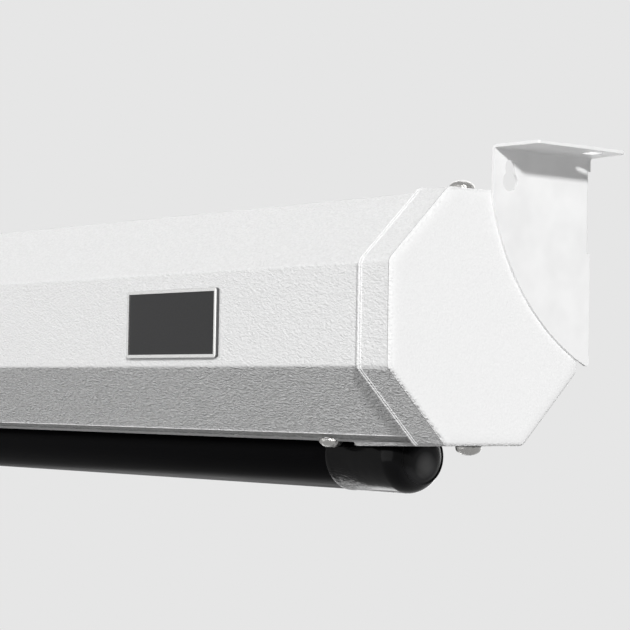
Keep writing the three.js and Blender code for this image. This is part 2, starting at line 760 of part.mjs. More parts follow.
// A C-shaped clip that snaps into the groove of the pin
function idlerClip() {
  const inner = idlerPinRadius - clipGrooveDepth + threadClearance;
  const opening = THREE.MathUtils.degToRad(clipOpening);
  const [u, v] = [fromFront(rollerDepth), fromTop(rollerDrop)];
  const arc = (radius) => Array.from({ length: pinSteps + 1 }, (_, k) => {
    const angle = (opening - Math.PI) / 2 + ((2 * Math.PI - opening) * k) / pinSteps;
    return new THREE.Vector2(u + radius * Math.cos(angle), v + radius * Math.sin(angle));
  });
  const outline = [...arc(clipRadius), ...arc(inner).reverse()];
  return alongX(outline, fromEnd(1, clipInset), fromEnd(1, clipInset + clipThickness));
}

// Moulded plug: flange against the tube's end, and a ribbed body inside it
function idlerPlug() {
  const start = rollerInsetRight - idlerPlugFlange;
  const end = rollerInsetRight + idlerPlugLength;
  const seat = rollerInsetRight - fitGap;
  const body = tubeBore - fitClearance;
  const hub = idlerPinRadius + idlerPlugHubWall;
  const rim = body - idlerPlugRimWall;
  const rib = idlerPlugRimWall;
  const plug = turnedAt(1, [
    [start, 0], [start, rollerRadius - bushChamfer], [start + bushChamfer, rollerRadius], [seat, rollerRadius],
    [seat, body], [end - headChamfer, body], [end, body - headChamfer], [end, 0],
  ]);
  const pocketSpan = span(1, rollerInsetRight + idlerPlugFloor, end + cutMargin);
  let pockets = toSolid(alongX(onAxis(rim), ...pocketSpan, [onAxis(hub)]));
  for (let k = 0; k < idlerPlugRibs; k += 1) {
    const web = box(
      [pocketSpan[0] - cutMargin, -rib / 2, hub - cutMargin],
      [pocketSpan[1], rib / 2, rim + cutMargin]);
    web.rotateX((2 * Math.PI * k) / idlerPlugRibs).translate(0, fromFront(rollerDepth), fromTop(rollerDrop));
    pockets = cut(pockets, web);
  }
  const bore = alongX(
    onAxis(idlerPinRadius + threadClearance, pinSteps), ...span(1, start - cutMargin, end + cutMargin));
  return toGeometry(cut(toSolid(plug).subtract(pockets), bore));
}

// The tube has a notch for the crown's lug and two holes for the drive wheel's screws
function rollerTube() {
  const [left, right] = [fromEnd(-1, rollerInsetLeft), fromEnd(1, rollerInsetRight)];
  const notchHalf = crownLugWidth / 2 + fitClearance;
  const [u, v] = [fromFront(rollerDepth), fromTop(rollerDrop)];
  const notch = box(
    [left - cutMargin, u - notchHalf, v],
    [left + crownLugLength + fitClearance, u + notchHalf, v + rollerRadius + cutMargin]);
  let tube = cut(toSolid(alongX(onAxis(rollerRadius), left, right, [onAxis(tubeBore)])), notch);
  for (const hand of [-1, 1]) {
    tube = cut(tube, driveScrewCore(hand, driveScrewRadius + threadClearance, rollerRadius + cutMargin));
  }
  return toGeometry(tube);
}

// A radial core on the drive wheel's mid-plane, upwards or downwards
function driveScrewCore(hand, radius, reach) {
  const from = driveWheelHub + driveScrewEngagement;
  const core = new THREE.CylinderGeometry(radius, radius, reach - from, holeSteps);
  core.rotateX(Math.PI / 2).translate(0, 0, (hand * (reach + from)) / 2);
  return core.translate(fromEnd(-1, wheelMiddle), fromFront(rollerDepth), fromTop(rollerDrop));
}

function driveScrew(hand) {
  return driveScrewCore(hand, driveScrewRadius, rollerRadius - driveScrewSink);
}

// Spoked wheel that keys the output shaft to the tube
function driveWheel() {
  const rim = tubeBore - fitClearance;
  const pocketOuter = rim - driveWheelRim;
  const [left, right] = span(-1, wheelStart, wheelStart + driveWheelLength);
  let pockets = toSolid(alongX(
    onAxis(pocketOuter), left - cutMargin, right + cutMargin, [onAxis(driveWheelHub)]));
  for (let k = 0; k < driveWheelSpokes; k += 1) {
    const holdsScrew = k % (driveWheelSpokes / 2) === 0;
    const half = (holdsScrew ? driveWheelScrewSpoke : driveWheelSpokeWidth) / 2;
    const spoke = box(
      [left - 2 * cutMargin, -half, driveWheelHub - cutMargin],
      [right + 2 * cutMargin, half, pocketOuter + cutMargin]);
    spoke.rotateX((2 * Math.PI * k) / driveWheelSpokes);
    pockets = cut(pockets, spoke.translate(0, fromFront(rollerDepth), fromTop(rollerDrop)));
  }
  let wheel = toSolid(alongX(onAxis(rim), left, right, [shaftOutline(threadClearance)])).subtract(pockets);
  for (const hand of [-1, 1]) {
    wheel = cut(wheel, driveScrewCore(hand, driveScrewRadius + threadClearance, rollerRadius + cutMargin));
  }
  return toGeometry(wheel);
}

// D-shaped section of the output shaft
function shaftOutline(grow = 0) {
  const radius = shaftRadius + grow;
  const half = Math.acos((shaftFlat + grow) / radius);
  const [u, v] = [fromFront(rollerDepth), fromTop(rollerDrop)];
  return Array.from({ length: pinSteps + 1 }, (_, k) => {
    const angle = Math.PI / 2 + half + ((2 * Math.PI - 2 * half) * k) / pinSteps;
    return new THREE.Vector2(u + radius * Math.cos(angle), v + radius * Math.sin(angle));
  });
}

function motorShaft() {
  return alongX(shaftOutline(), ...span(-1, housingEnd + fitClearance, housingEnd + shaftLength));
}

function motorHousing() {
  const start = housingStart + fitGap;
  const profile = [[start, 0], [start, housingRadius]];
  for (const place of housingCrimps) {
    const middle = housingStart + place;
    profile.push(
      [middle - housingCrimpWidth / 2, housingRadius], [middle, housingRadius - housingCrimpDepth],
      [middle + housingCrimpWidth / 2, housingRadius]);
  }
  profile.push([housingEnd - housingChamfer, housingRadius]);
  profile.push([housingEnd, housingRadius - housingChamfer], [housingEnd, 0]);
  return turnedAt(-1, profile);
}

// Head of the motor: body, neck under the crown, boss in the plate, and pockets for its screws
function motorHead() {
  const neckStart = housingStart - headNeckLength;
  const bossFace = headStart - headBossHeight;
  let head = toSolid(turnedAt(-1, [
    [bossFace, 0], [bossFace, headBossRadius], [headStart, headBossRadius],
    [headStart, headRadius - headChamfer], [headStart + headChamfer, headRadius],
    [neckStart - headChamfer, headRadius], [neckStart, headRadius - headChamfer],
    [neckStart, housingRadius], [housingStart, housingRadius], [housingStart, 0],
  ]));
  const limitPocket = [headStart - cutMargin, headStart + limitScrewLength + fitClearance];
  for (const [depth, drop] of limitScrewPlaces) {
    head = cut(head, levelRound(-1, depth, drop, limitScrewRadius + runningClearance, limitPocket));
  }
  const screwBore = [headStart - cutMargin, headStart + headScrewLength];
  for (const [depth, drop] of headScrewPlaces) {
    head = cut(head, levelRound(-1, depth, drop, threadHole, screwBore));
  }
  const [inset, depth, drop] = leadStart;
  const leadPocket = circle(fromEnd(-1, inset), fromTop(drop), leadRadius + fitClearance, holeSteps);
  head = cut(head, alongY(leadPocket, fromFront(depth), fromFront(rollerDepth + headRadius + cutMargin)));
  return toGeometry(head);
}

function limitScrew([depth, drop]) {
  const socketEnds = [headStart - cutMargin, headStart + limitScrewSocketDepth];
  const core = levelRound(-1, depth, drop, limitScrewRadius, [headStart, headStart + limitScrewLength]);
  const socket = levelRound(-1, depth, drop, limitScrewSocket / Math.sqrt(3), socketEnds, 6);
  return toGeometry(cut(toSolid(core), socket));
}

// Limit crown: a collar on the housing, a skirt inside the tube, and a lug in the tube's notch
function crownRing() {
  const start = housingStart + fitClearance;
  const skirtSpan = span(-1, start, start + crownLength);
  const collarSpan = span(-1, start, rollerInsetLeft - fitClearance);
  const skirt = alongX(onAxis(crownBore + crownSkirt), ...skirtSpan, [onAxis(crownBore)]);
  const collar = alongX(onAxis(rollerRadius + crownCollar), ...collarSpan, [onAxis(crownBore)]);
  const [left, right] = span(-1, start, rollerInsetLeft + crownLugLength);
  const [u, v] = [fromFront(rollerDepth), fromTop(rollerDrop)];
  const lug = box(
    [left, u - crownLugWidth / 2, v + crownBore + crownSkirt / 2],
    [right, u + crownLugWidth / 2, v + rollerRadius - fitGap]);
  return toGeometry(join(join(toSolid(skirt), collar), lug));
}

function fabricRoll() {
  const half = fabricWidth / 2;
  return alongX(onAxis(fabricOuter, rollSteps), -half, half, [onAxis(rollerRadius + threadClearance)]);
}

// The single layer between the roll and the hem
function fabricDrop() {
  const half = fabricWidth / 2;
  const low = fromTop(hemDrop - hemRadius - fitClearance);
  const [front, back] = [-1, 1].map((hand) => fromFront(slotCentre + (hand * sheetThickness) / 2));
  return box([-half, front, low], [half, back, fromTop(rollerDrop)]);
}

function hemCircle(radius) {
  return circle(fromFront(slotCentre), fromTop(hemDrop), radius, holeSteps);
}

function hemRod() {
  return alongX(hemCircle(hemRodRadius), -fabricWidth / 2, fabricWidth / 2);
}

function fabricHem() {
  return alongX(hemCircle(hemRadius), -fabricWidth / 2, fabricWidth / 2, [hemCircle(hemRodRadius + fitGap)]);
}

// Round bar with a keyway along its top that holds the hem
function weightBar() {
  const half = caseLength / 2 - barInset - barCapFillet - fitClearance;
  const [u, v] = [fromFront(slotCentre), fromTop(barDrop)];
  const arc = (radius) => {
    const gap = Math.asin(keywayWidth / 2 / radius);
    return Array.from({ length: barSteps + 1 }, (_, k) => {
      const angle = Math.PI / 2 + gap + ((2 * Math.PI - 2 * gap) * k) / barSteps;
      return new THREE.Vector2(u + radius * Math.cos(angle), v + radius * Math.sin(angle));
    });
  };
  return alongX([...arc(barRadius), ...arc(barRadius - barWall).reverse()], -half, half);
}

// Moulded cap pulled over the end of the bar, with a broadly rounded nose
function barCap(side) {
  const outer = barRadius + barCapProud;
  const bore = barRadius + fitGap;
  const noseEnd = barInset + barCapFillet;
  const end = barInset + barCapLength;
  const nose = (reach, radius, steps) => Array.from({ length: steps + 1 }, (_, k) => {
    const angle = (Math.PI / 2) * (k / steps);
    return [noseEnd - radius * Math.cos(angle), reach - radius + radius * Math.sin(angle)];
  });
  const profile = [
    [barInset, 0], ...nose(outer, barCapFillet, 2 * edgeSteps), [end, outer], [end, bore],
    ...nose(bore, barCapFillet - barCapWall, edgeSteps).reverse(), [barInset + barCapWall, 0],
  ];
  const placed = profile.map(([inset, radius]) => [fromEnd(side, inset), radius]);
  const [u, v] = [fromFront(slotCentre), fromTop(barDrop)];
  const [left, right] = span(side, noseEnd, end + cutMargin);
  const keyway = box(
    [left, u - keywayWidth / 2, v + barRadius - barWall], [right, u + keywayWidth / 2, v + outer + cutMargin]);
  return toGeometry(cut(toSolid(turned(placed, barSteps).translate(0, u, v)), keyway));
}

// Receiver box against the back wall of the shell, as a base and a cover with rounded edges
function receiverOutline(inset) {
  const [left, right] = span(-1, boxInset + inset, boxInset + boxLength - inset);
  const [low, high] = [fromTop(boxDrop + boxHeight - inset), fromTop(boxDrop + inset)];
  return roundCorners(corners([[left, low], [right, low], [right, high], [left, high]]), boxCorner - inset);
}

function receiverBox() {
  const front = fromFront(boxFront + boxCoverThickness);
  const back = fromFront(boxBack);
  const body = cut(
    toSolid(alongY(receiverOutline(0), front, back)),
    alongY(receiverOutline(boxWall), front - cutMargin, back - boxWall));
  const [, depth, drop] = leadEnd;
  return toGeometry(cut(body, levelRound(
    -1, depth, drop, leadRadius + fitClearance, [boxInset - cutMargin, boxInset + boxWall + cutMargin])));
}

function receiverCover() {
  return alongY(receiverOutline(0), fromFront(boxFront), fromFront(boxFront + boxCoverThickness - fitGap));
}

// The motor's lead, from the back of its head to the end of the receiver box, as inset, depth and drop
function motorLead() {
  const route = [
    leadStart, [34, leadStart[1] + 9, rollerDrop], [36, leadStart[1] + 18, rollerDrop + 0.4],
    [42, leadEnd[1] - 4, leadEnd[2] - 0.4], [50, leadEnd[1], leadEnd[2]], [57, leadEnd[1], leadEnd[2]], leadEnd,
  ];
  const points = route.map(([inset, depth, drop]) => new THREE.Vector3(
    fromEnd(-1, inset), fromFront(depth), fromTop(drop)));
  const curve = new THREE.CatmullRomCurve3(points, false, 'centripetal');
  const section = new THREE.Shape(circle(0, 0, leadRadius, 10));
  return new THREE.ExtrudeGeometry(section, { steps: 16, bevelEnabled: false, extrudePath: curve });
}

// Cord gland: thread through the cap, hexagon and dome outside, bored for the mains cord
function cordGland() {
  const domeRadius = glandHex / 2 - glandDomeInset;
  const outerEnd = glandHexHeight + glandDomeHeight;
  const profile = [[-glandHexHeight / 2, 0], [-glandHexHeight / 2, domeRadius]];
  for (let k = 0; k <= edgeSteps; k += 1) {
    const angle = (Math.PI / 2) * (k / edgeSteps);
    profile.push([
      -glandHexHeight - glandDomeHeight * Math.sin(angle),
      domeRadius - glandDomeFillet * (1 - Math.cos(angle)),
    ]);
  }
  profile.push([-outerEnd, 0]);
  const placed = profile.map(([inset, radius]) => [fromEnd(-1, inset), radius]);
  const dome = turned(placed).translate(0, fromFront(glandDepth), fromTop(glandDrop));
  const thread = levelRound(-1, glandDepth, glandDrop, glandThreadRadius, [glandReach, -cutMargin], roundSteps);
  const hex = levelRound(-1, glandDepth, glandDrop, glandHex / Math.sqrt(3), [0, -glandHexHeight], 6);
  const bore = levelRound(
    -1, glandDepth, glandDrop, glandBore, [glandReach + cutMargin, -outerEnd - cutMargin]);
  return toGeometry(cut(join(join(toSolid(thread), hex), dome), bore));
}

function glandNut() {
  const start = capWall + fitGap;
  const end = start + glandNutHeight;
  const hex = levelRound(-1, glandDepth, glandDrop, glandHex / Math.sqrt(3), [start, end], 6);
  const bore = levelRound(
    -1, glandDepth, glandDrop, glandThreadRadius + threadClearance,
    [start - cutMargin, end + cutMargin], roundSteps);
  return toGeometry(cut(toSolid(hex), bore));
}

// Finishes
const finishes = {
  powderCoat: { color: '#f1f1ef', roughness: 0.55, metalness: 0 },
  bracketPaint: { color: '#f4f4f2', roughness: 0.42, metalness: 0 },
  nickelSteel: { color: '#c9c9c6', roughness: 0.25, metalness: 1 },
  zincSteel: { color: '#b4b6b8', roughness: 0.4, metalness: 1 },
  blackSteel: { color: '#17171a', roughness: 0.45, metalness: 0 },
  blackPlastic: { color: '#111113', roughness: 0.2, metalness: 0 },
  greyPlastic: { color: '#3a3b3e', roughness: 0.5, metalness: 0 },
  whitePlastic: { color: '#e6e6e2', roughness: 0.5, metalness: 0 },
  tubeAluminium: { color: '#a9abae', roughness: 0.35, metalness: 1 },
  screenFabric: { color: '#f0f0ec', roughness: 0.9, metalness: 0 },
  blackFabric: { color: '#18181a', roughness: 0.9, metalness: 0 },
  rubber: { color: '#1c1c1e', roughness: 0.7, metalness: 0 },
};

const screen = new THREE.Group();

function place(name, geometry, finish, position = [0, 0, 0], rotation = [0, 0, 0], parent = screen) {
  const mesh = new THREE.Mesh(geometry, new THREE.MeshStandardMaterial(finishes[finish]));
  mesh.name = name;
  mesh.position.set(...position);
  mesh.rotation.set(...rotation);
  parent.add(mesh);
  return mesh;
}

const sideNames = { right: 1, left: -1 };

place('case_shell', caseShell(), 'powderCoat');
for (const [name, side] of Object.entries(sideNames)) {
  place(`end_cap_${name}`, endCap(side), 'powderCoat');
  place(`bracket_${name}`, bracket(side), 'bracketPaint');
  const screwX = fromEnd(side, capScrewInset);
  const turnedDown = [Math.PI, 0, 0];
  place(`cap_screw_top_${name}`, panScrew(topScrewLength), 'nickelSteel',
    [screwX, fromFront(topScrewDepth), fromTop(0)]);
  place(`cap_screw_bottom_${name}`, panScrew(bottomScrewLength), 'nickelSteel',
    [screwX, fromFront(bottomScrewDepth), fromTop(caseHeight)], turnedDown);
  place(`lip_screw_${name}`, panScrew(lipScrewLength), 'nickelSteel',
    [fromEnd(side, lipScrewInset), fromFront(lipScrewDepth), fromTop(caseHeight - capProud)], turnedDown);
  studPlaces.forEach(([depth, drop], i) => {
    const facing = side > 0 ? [0, 0, 0] : [0, Math.PI, 0];
    place(`bracket_nut_${['upper', 'lower'][i]}_${name}`, flangeNut(), 'zincSteel',
      [fromEnd(side, capWall), fromFront(depth), fromTop(drop)], facing);
  });
}

place('idler_plate', idlerPlate(), 'zincSteel');
place('idler_bush', idlerBush(), 'whitePlastic');
place('motor_plate', motorPlate(), 'zincSteel');
place('motor_head', motorHead(), 'blackPlastic');
place('motor_housing', motorHousing(), 'zincSteel');
headScrewPlaces.forEach(([depth, drop], i) => {
  place(`motor_screw_${['front', 'back'][i]}`, panScrew(headScrewLength), 'nickelSteel',
    [fromEnd(-1, plateInset), fromFront(depth), fromTop(drop)], [0, -Math.PI / 2, 0]);
});
place('limit_screw_up', limitScrew(limitScrewPlaces[0]), 'whitePlastic');
place('limit_screw_down', limitScrew(limitScrewPlaces[1]), 'whitePlastic');
place('receiver_box', receiverBox(), 'greyPlastic');
place('receiver_cover', receiverCover(), 'greyPlastic');
place('motor_lead', motorLead(), 'rubber');
place('cord_gland', cordGland(), 'blackPlastic');
place('gland_nut', glandNut(), 'blackPlastic');

const roller = new THREE.Group();
screen.add(roller);
const flat = [[0, 0, 0], [0, 0, 0], roller];
place('roller_tube', rollerTube(), 'tubeAluminium', ...flat);
place('fabric_roll', fabricRoll(), 'screenFabric', ...flat);
place('crown_ring', crownRing(), 'whitePlastic', ...flat);
place('motor_shaft', motorShaft(), 'zincSteel', ...flat);
place('drive_wheel', driveWheel(), 'greyPlastic', ...flat);
place('drive_screw_upper', driveScrew(1), 'zincSteel', ...flat);
place('drive_screw_lower', driveScrew(-1), 'zincSteel', ...flat);
place('idler_plug', idlerPlug(), 'greyPlastic', ...flat);
place('idler_pin', idlerPin(), 'zincSteel', ...flat);
place('idler_clip', idlerClip(), 'blackSteel', ...flat);

const bar = new THREE.Group();
screen.add(bar);
const barFlat = [[0, 0, 0], [0, 0, 0], bar];
place('weight_bar', weightBar(), 'blackSteel', ...barFlat);
place('bar_cap_right', barCap(1), 'blackPlastic', ...barFlat);
place('bar_cap_left', barCap(-1), 'blackPlastic', ...barFlat);
place('hem_rod', hemRod(), 'zincSteel', ...barFlat);
place('fabric_hem', fabricHem(), 'blackFabric', ...barFlat);
place('fabric_drop', fabricDrop(), 'blackFabric', ...barFlat);

export default screen;
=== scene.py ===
import json
import math
import bpy
from mathutils import Matrix, Vector

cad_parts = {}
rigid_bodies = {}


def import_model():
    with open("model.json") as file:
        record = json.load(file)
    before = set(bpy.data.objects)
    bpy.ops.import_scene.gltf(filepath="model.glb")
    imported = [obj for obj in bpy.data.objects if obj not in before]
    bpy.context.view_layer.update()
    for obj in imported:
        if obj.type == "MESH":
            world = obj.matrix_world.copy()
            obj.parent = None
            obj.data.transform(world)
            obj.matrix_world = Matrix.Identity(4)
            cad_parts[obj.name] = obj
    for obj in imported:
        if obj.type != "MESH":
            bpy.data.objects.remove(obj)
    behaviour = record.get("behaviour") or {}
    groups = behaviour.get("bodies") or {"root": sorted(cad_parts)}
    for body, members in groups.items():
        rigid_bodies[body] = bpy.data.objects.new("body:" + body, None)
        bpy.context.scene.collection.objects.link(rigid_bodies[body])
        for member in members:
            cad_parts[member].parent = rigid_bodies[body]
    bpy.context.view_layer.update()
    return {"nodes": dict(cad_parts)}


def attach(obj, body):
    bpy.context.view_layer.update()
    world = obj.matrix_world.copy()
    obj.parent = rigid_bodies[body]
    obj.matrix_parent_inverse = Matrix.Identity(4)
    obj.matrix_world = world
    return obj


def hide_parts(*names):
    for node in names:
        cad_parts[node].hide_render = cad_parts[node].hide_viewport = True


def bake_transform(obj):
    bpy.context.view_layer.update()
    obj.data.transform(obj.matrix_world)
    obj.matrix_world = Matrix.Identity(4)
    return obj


# Motorized projection screen in its octagonal case, rolled up, with the black weight bar in its slot.
# X runs along the case, +Y goes to the wall and +Z goes up; lengths in the dictionaries are millimetres
# where no comment says otherwise.
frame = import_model()
bodyOf = {name: node.parent.name.split(":")[1] for name, node in frame["nodes"].items()}


def at(x, y, z):
    return Vector((x, y, z)) / 1000


def linear(code):
    # sRGB hex to Blender's linear colour
    parts = [int(code[i:i + 2], 16) / 255 for i in (1, 3, 5)]
    return tuple(c / 12.92 if c <= 0.04045 else ((c + 0.055) / 1.055) ** 2.4 for c in parts) + (1.0,)


def addNode(owner, kind, values=None, **settings):
    # a node with its settings; a value that is a socket is linked, any other is set on the socket
    node = owner.node_tree.nodes.new("ShaderNode" + kind)
    for key, value in settings.items():
        setattr(node, key, value)
    for key, value in (values or {}).items():
        if isinstance(value, bpy.types.NodeSocket):
            owner.node_tree.links.new(value, node.inputs[key])
        else:
            node.inputs[key].default_value = value
    return node


def newMaterial(name):
    material = bpy.data.materials.new(name)
    material.use_nodes = True
    material.node_tree.nodes.clear()
    return material


def addMath(owner, operation, *values):
    # up to three numbers or sockets reckoned together
    return addNode(owner, "Math", dict(enumerate(values)), operation=operation).outputs[0]


def addNoise(owner, vector, scale, detail, roughness=0.5, distortion=0):
    return addNode(owner, "TexNoise", {
        "Vector": vector, "Scale": scale, "Detail": detail, "Roughness": roughness,
        "Distortion": distortion})


def addGrain(owner, height, strength, depth):
    # the normals of a relief whose depth is given in millimetres
    return addNode(owner, "Bump", {
        "Height": height, "Strength": strength, "Distance": depth / 1000}).outputs["Normal"]


def addRamp(owner, factor, dark, light, low=0, high=1):
    # a factor turned into a tone that is dark up to low and light from high
    tone = addNode(owner, "ValToRGB", {"Fac": factor})
    for stop, place, code in zip(tone.color_ramp.elements, (low, high), (dark, light)):
        stop.position = place
        stop.color = linear(code)
    return tone


def addSurface(owner, values):
    # the Principled shader that ends every finish
    shader = addNode(owner, "BsdfPrincipled", values)
    addNode(owner, "OutputMaterial", {"Surface": shader.outputs["BSDF"]})
    return owner


def isLookedAt(owner):
    # 1 where the camera, a mirror or a clear piece looks, 0 for the light that bounces
    path = addNode(owner, "LightPath")
    seen = addMath(owner, "MAXIMUM", path.outputs["Is Camera Ray"], path.outputs["Is Glossy Ray"])
    seen = addMath(owner, "MAXIMUM", seen, path.outputs["Is Transmission Ray"])
    return seen


def deselectAll():
    if bpy.context.object and bpy.context.object.mode != "OBJECT":
        bpy.ops.object.mode_set(mode="OBJECT")
    bpy.ops.object.select_all(action="DESELECT")


def activate(obj):
    deselectAll()
    obj.select_set(True)
    bpy.context.view_layer.objects.active = obj


def settle(obj, name):
    # names a new piece and puts its place into its mesh
    obj.name = name
    obj.data.name = name
    activate(obj)
    bpy.ops.object.transform_apply(location=True, rotation=True, scale=True)
    return obj


def editAll(obj):
    activate(obj)
    bpy.ops.object.mode_set(mode="EDIT")
    bpy.ops.mesh.select_mode(type="VERT")
    bpy.ops.mesh.select_all(action="SELECT")


def editWhere(obj, kind, test):
    # enters edit mode with the vertices, edges or faces selected that pass the test, given in millimetres
    activate(obj)
    mesh = obj.data
    for group in (mesh.vertices, mesh.edges, mesh.polygons):
        group.foreach_set("select", [False] * len(group))
    if kind == "VERT":
        for vertex in mesh.vertices:
            vertex.select = test(vertex.co * 1000)
    if kind == "EDGE":
        for edge in mesh.edges:
            a, b = (mesh.vertices[i].co * 1000 for i in edge.vertices)
            edge.select = test(a, b)
    if kind == "FACE":
        for face in mesh.polygons:
            face.select = test(face.center * 1000, face.normal)
    bpy.ops.object.mode_set(mode="EDIT")
    bpy.ops.mesh.select_mode(type=kind)


def leave():
    bpy.ops.object.mode_set(mode="OBJECT")


def faceOut(obj):
    editAll(obj)
    bpy.ops.mesh.normals_make_consistent(inside=False)
    leave()


def smooth(obj, degrees):
    # bends shaded round while the flats between them stay flat
    activate(obj)
    bpy.ops.object.shade_smooth_by_angle(angle=math.radians(degrees))
    addModifier(obj, "WEIGHTED_NORMAL", weight=100, keep_sharp=True)


def addModifier(obj, kind, **settings):
    # a modifier set up and applied at once
    activate(obj)
    modifier = obj.modifiers.new(kind.title(), kind)
    for key, value in settings.items():
        setattr(modifier, key, value)
    bpy.ops.object.modifier_apply(modifier=modifier.name)


def cutWith(obj, cutter, operation="DIFFERENCE"):
    addModifier(obj, "BOOLEAN", object=cutter, operation=operation, solver="EXACT")
    bpy.data.objects.remove(cutter)


def pushOn(step):
    # what is selected in edit mode, extruded by a step
    bpy.ops.mesh.extrude_region_move(TRANSFORM_OT_translate={"value": step})


def drawIn(width, rise=0):
    # the selected face drawn in by a width and raised by a height, in millimetres
    bpy.ops.mesh.inset(thickness=width / 1000, depth=rise / 1000, use_even_offset=True)


def drawChain(points, name):
    # one vertex of a plane, extruded from point to point as by hand
    deselectAll()
    bpy.ops.mesh.primitive_plane_add(size=0.002, location=points[0])
    obj = settle(bpy.context.object, name)
    editAll(obj)
    bpy.ops.mesh.merge(type="CENTER")
    for here, there in zip(points, points[1:]):
        pushOn(there - here)
    leave()
    return obj


def drawOutline(points, name, corner=0, facing=None):
    # a closed and filled chain, its corners cut back by a length and rounded
    obj = drawChain(points + points[:1], name)
    editAll(obj)
    bpy.ops.mesh.remove_doubles(threshold=0.00001)
    bpy.ops.mesh.edge_face_add()
    if corner:
        bpy.ops.mesh.bevel(offset=corner / 1000, segments=4, affect="VERTICES")
    leave()
    if facing is not None and obj.data.polygons[0].normal.dot(Vector(facing)) < 0:
        editAll(obj)
        bpy.ops.mesh.flip_normals()
        leave()
    return obj


def pull(obj, step, times=1):
    # the drawn shape pulled along a step
    editAll(obj)
    for _ in range(times):
        pushOn(step / times)
    leave()
    faceOut(obj)
    return obj


def block(low, high):
    # a plain cutter between two corners
    low, high = Vector(low), Vector(high)
    deselectAll()
    bpy.ops.mesh.primitive_cube_add(size=1, location=(low + high) / 2, scale=high - low)
    return settle(bpy.context.object, "block")


def drill(obj, place, radius, axis, length=8):
    # a round hole through a wall
    turn = {"X": (0, math.pi / 2, 0), "Z": (0, 0, 0)}[axis]
    deselectAll()
    bpy.ops.mesh.primitive_cylinder_add(
        vertices=32, radius=radius / 1000, depth=length / 1000, location=place, rotation=turn)
    cutWith(obj, settle(bpy.context.object, "drill"))


def twinOf(obj, name, place=(0, 0, 0), turn=(0, 0, 0), flip=1):
    # a copy with its own mesh, turned and set down at a place, or mirrored for the left end
    twin = obj.copy()
    twin.data = obj.data.copy()
    bpy.context.scene.collection.objects.link(twin)
    twin.location = place
    twin.rotation_euler = turn
    twin.scale = (flip, 1, 1)
    settle(twin, name)
    faceOut(twin)
    return twin


def dress(obj, material, body, slot, *nodes):
    obj.data.materials.clear()
    obj.data.materials.append(material)
    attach(obj, body)
    if nodes:
        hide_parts(*nodes)
    return obj


def roundedCopy(node, name, material, slot, edge):
    # a CAD node carried over with its triangles merged into flats, its round faces shaded round and its
    # sharp edges broken by a width in millimetres, or left at 0
    mesh = frame["nodes"][node].data.copy()
    obj = bpy.data.objects.new(name, mesh)
    mesh.name = name
    bpy.context.scene.collection.objects.link(obj)
    editAll(obj)
    bpy.ops.mesh.remove_doubles(threshold=0.000002)
    bpy.ops.mesh.dissolve_limited(angle_limit=math.radians(0.4))
    leave()
    if edge:
        addModifier(
            obj, "BEVEL", width=edge / 1000, segments=2, limit_method="ANGLE",
            angle_limit=math.radians(50), use_clamp_overlap=True)
    smooth(obj, 30)
    return dress(obj, material, bodyOf[node], slot, node)


# Camera, fitted to the photograph: its place in metres, its turns in radians
cameraView = {
    "place": (1.622503, -0.611372, -0.098185), "yaw": 2.4531066, "pitch": 0.0403944, "roll": 0.0161763,
    "focalPixels": 2113.178, "framePixels": 630, "sensorWidth": 36, "clipEnd": 100,
}


def makeCamera(view):
    yaw, pitch, roll = view["yaw"], view["pitch"], view["roll"]
    ahead = Vector((math.cos(pitch) * math.cos(yaw), math.cos(pitch) * math.sin(yaw), math.sin(pitch)))
    level = Vector((math.sin(yaw), -math.cos(yaw), 0))
    above = level.cross(ahead)
    right = math.cos(roll) * level + math.sin(roll) * above
    up = math.cos(roll) * above - math.sin(roll) * level
    deselectAll()
    bpy.ops.object.camera_add()
    camera = bpy.context.object
    camera.name = "camera"
    camera.matrix_world = (
        Matrix.Translation(view["place"]) @ Matrix((right, up, -ahead)).transposed().to_4x4())
    camera.data.sensor_width = view["sensorWidth"]
    camera.data.lens = view["sensorWidth"] * view["focalPixels"] / view["framePixels"]
    camera.data.clip_end = view["clipEnd"]
    bpy.context.scene.camera = camera


makeCamera(cameraView)
print("camera stands")


# Studio: pale floor and surroundings, a key from the right, and wide soft fills from the front and the
# back. One round card, low beyond the right end, lights what faces down; another, low on the wall's
# side, is only mirrored. A travel is the way that light goes. The floor fades into the surroundings
# between two distances from the part's origin, in metres.
studio = {
    "pale": "#e6e6e6", "floorDrop": 1640, "floorRadius": 7000, "floorRounds": 96, "fadeFrom": 0.4,
    "fadeTo": 4.5, "floorTone": "#f6f6f6", "floorBounce": "#585858", "roomLight": 0.2,
    "keyTravel": (-0.80, 0.518, -0.335), "keyStrength": 2.66, "keyAngle": 5,
    "fillTravel": (0.25, 0.96, -0.12), "fillStrength": 1.12, "fillAngle": 60,
    "backTravel": (0.5, -0.82, -0.28), "backStrength": 1.5, "backAngle": 60,
    "bouncePlace": (2100, 900, -1100), "bounceTravel": (-1000, -950, 1100), "bounceStrength": 7.5,
    "bounceSize": 700,
    "glossPlace": (-330, 560, -920), "glossTravel": (1230, -610, 800), "glossStrength": 2.0,
    "glossSize": 500,
}


def addLamp(name, travel, strength, degrees):
    # a sun whose rays go along a travel, soft over an angle
    deselectAll()
    bpy.ops.object.light_add(type="SUN", location=-Vector(travel) * 4)
    lamp = bpy.context.object
    lamp.name = name
    lamp.rotation_euler = Vector(travel).to_track_quat("-Z", "Y").to_euler()
    lamp.data.energy = strength
    lamp.data.angle = math.radians(degrees)


def addCard(name, place, travel, strength, size):
    # a round white card that the camera doesn't see
    deselectAll()
    bpy.ops.object.light_add(type="AREA", location=at(*place))
    card = bpy.context.object
    card.name = name
    card.data.shape = "DISK"
    card.data.size = size / 1000
    card.data.energy = strength
    card.rotation_euler = at(*travel).to_track_quat("-Z", "Y").to_euler()
    card.visible_camera = False
    return card


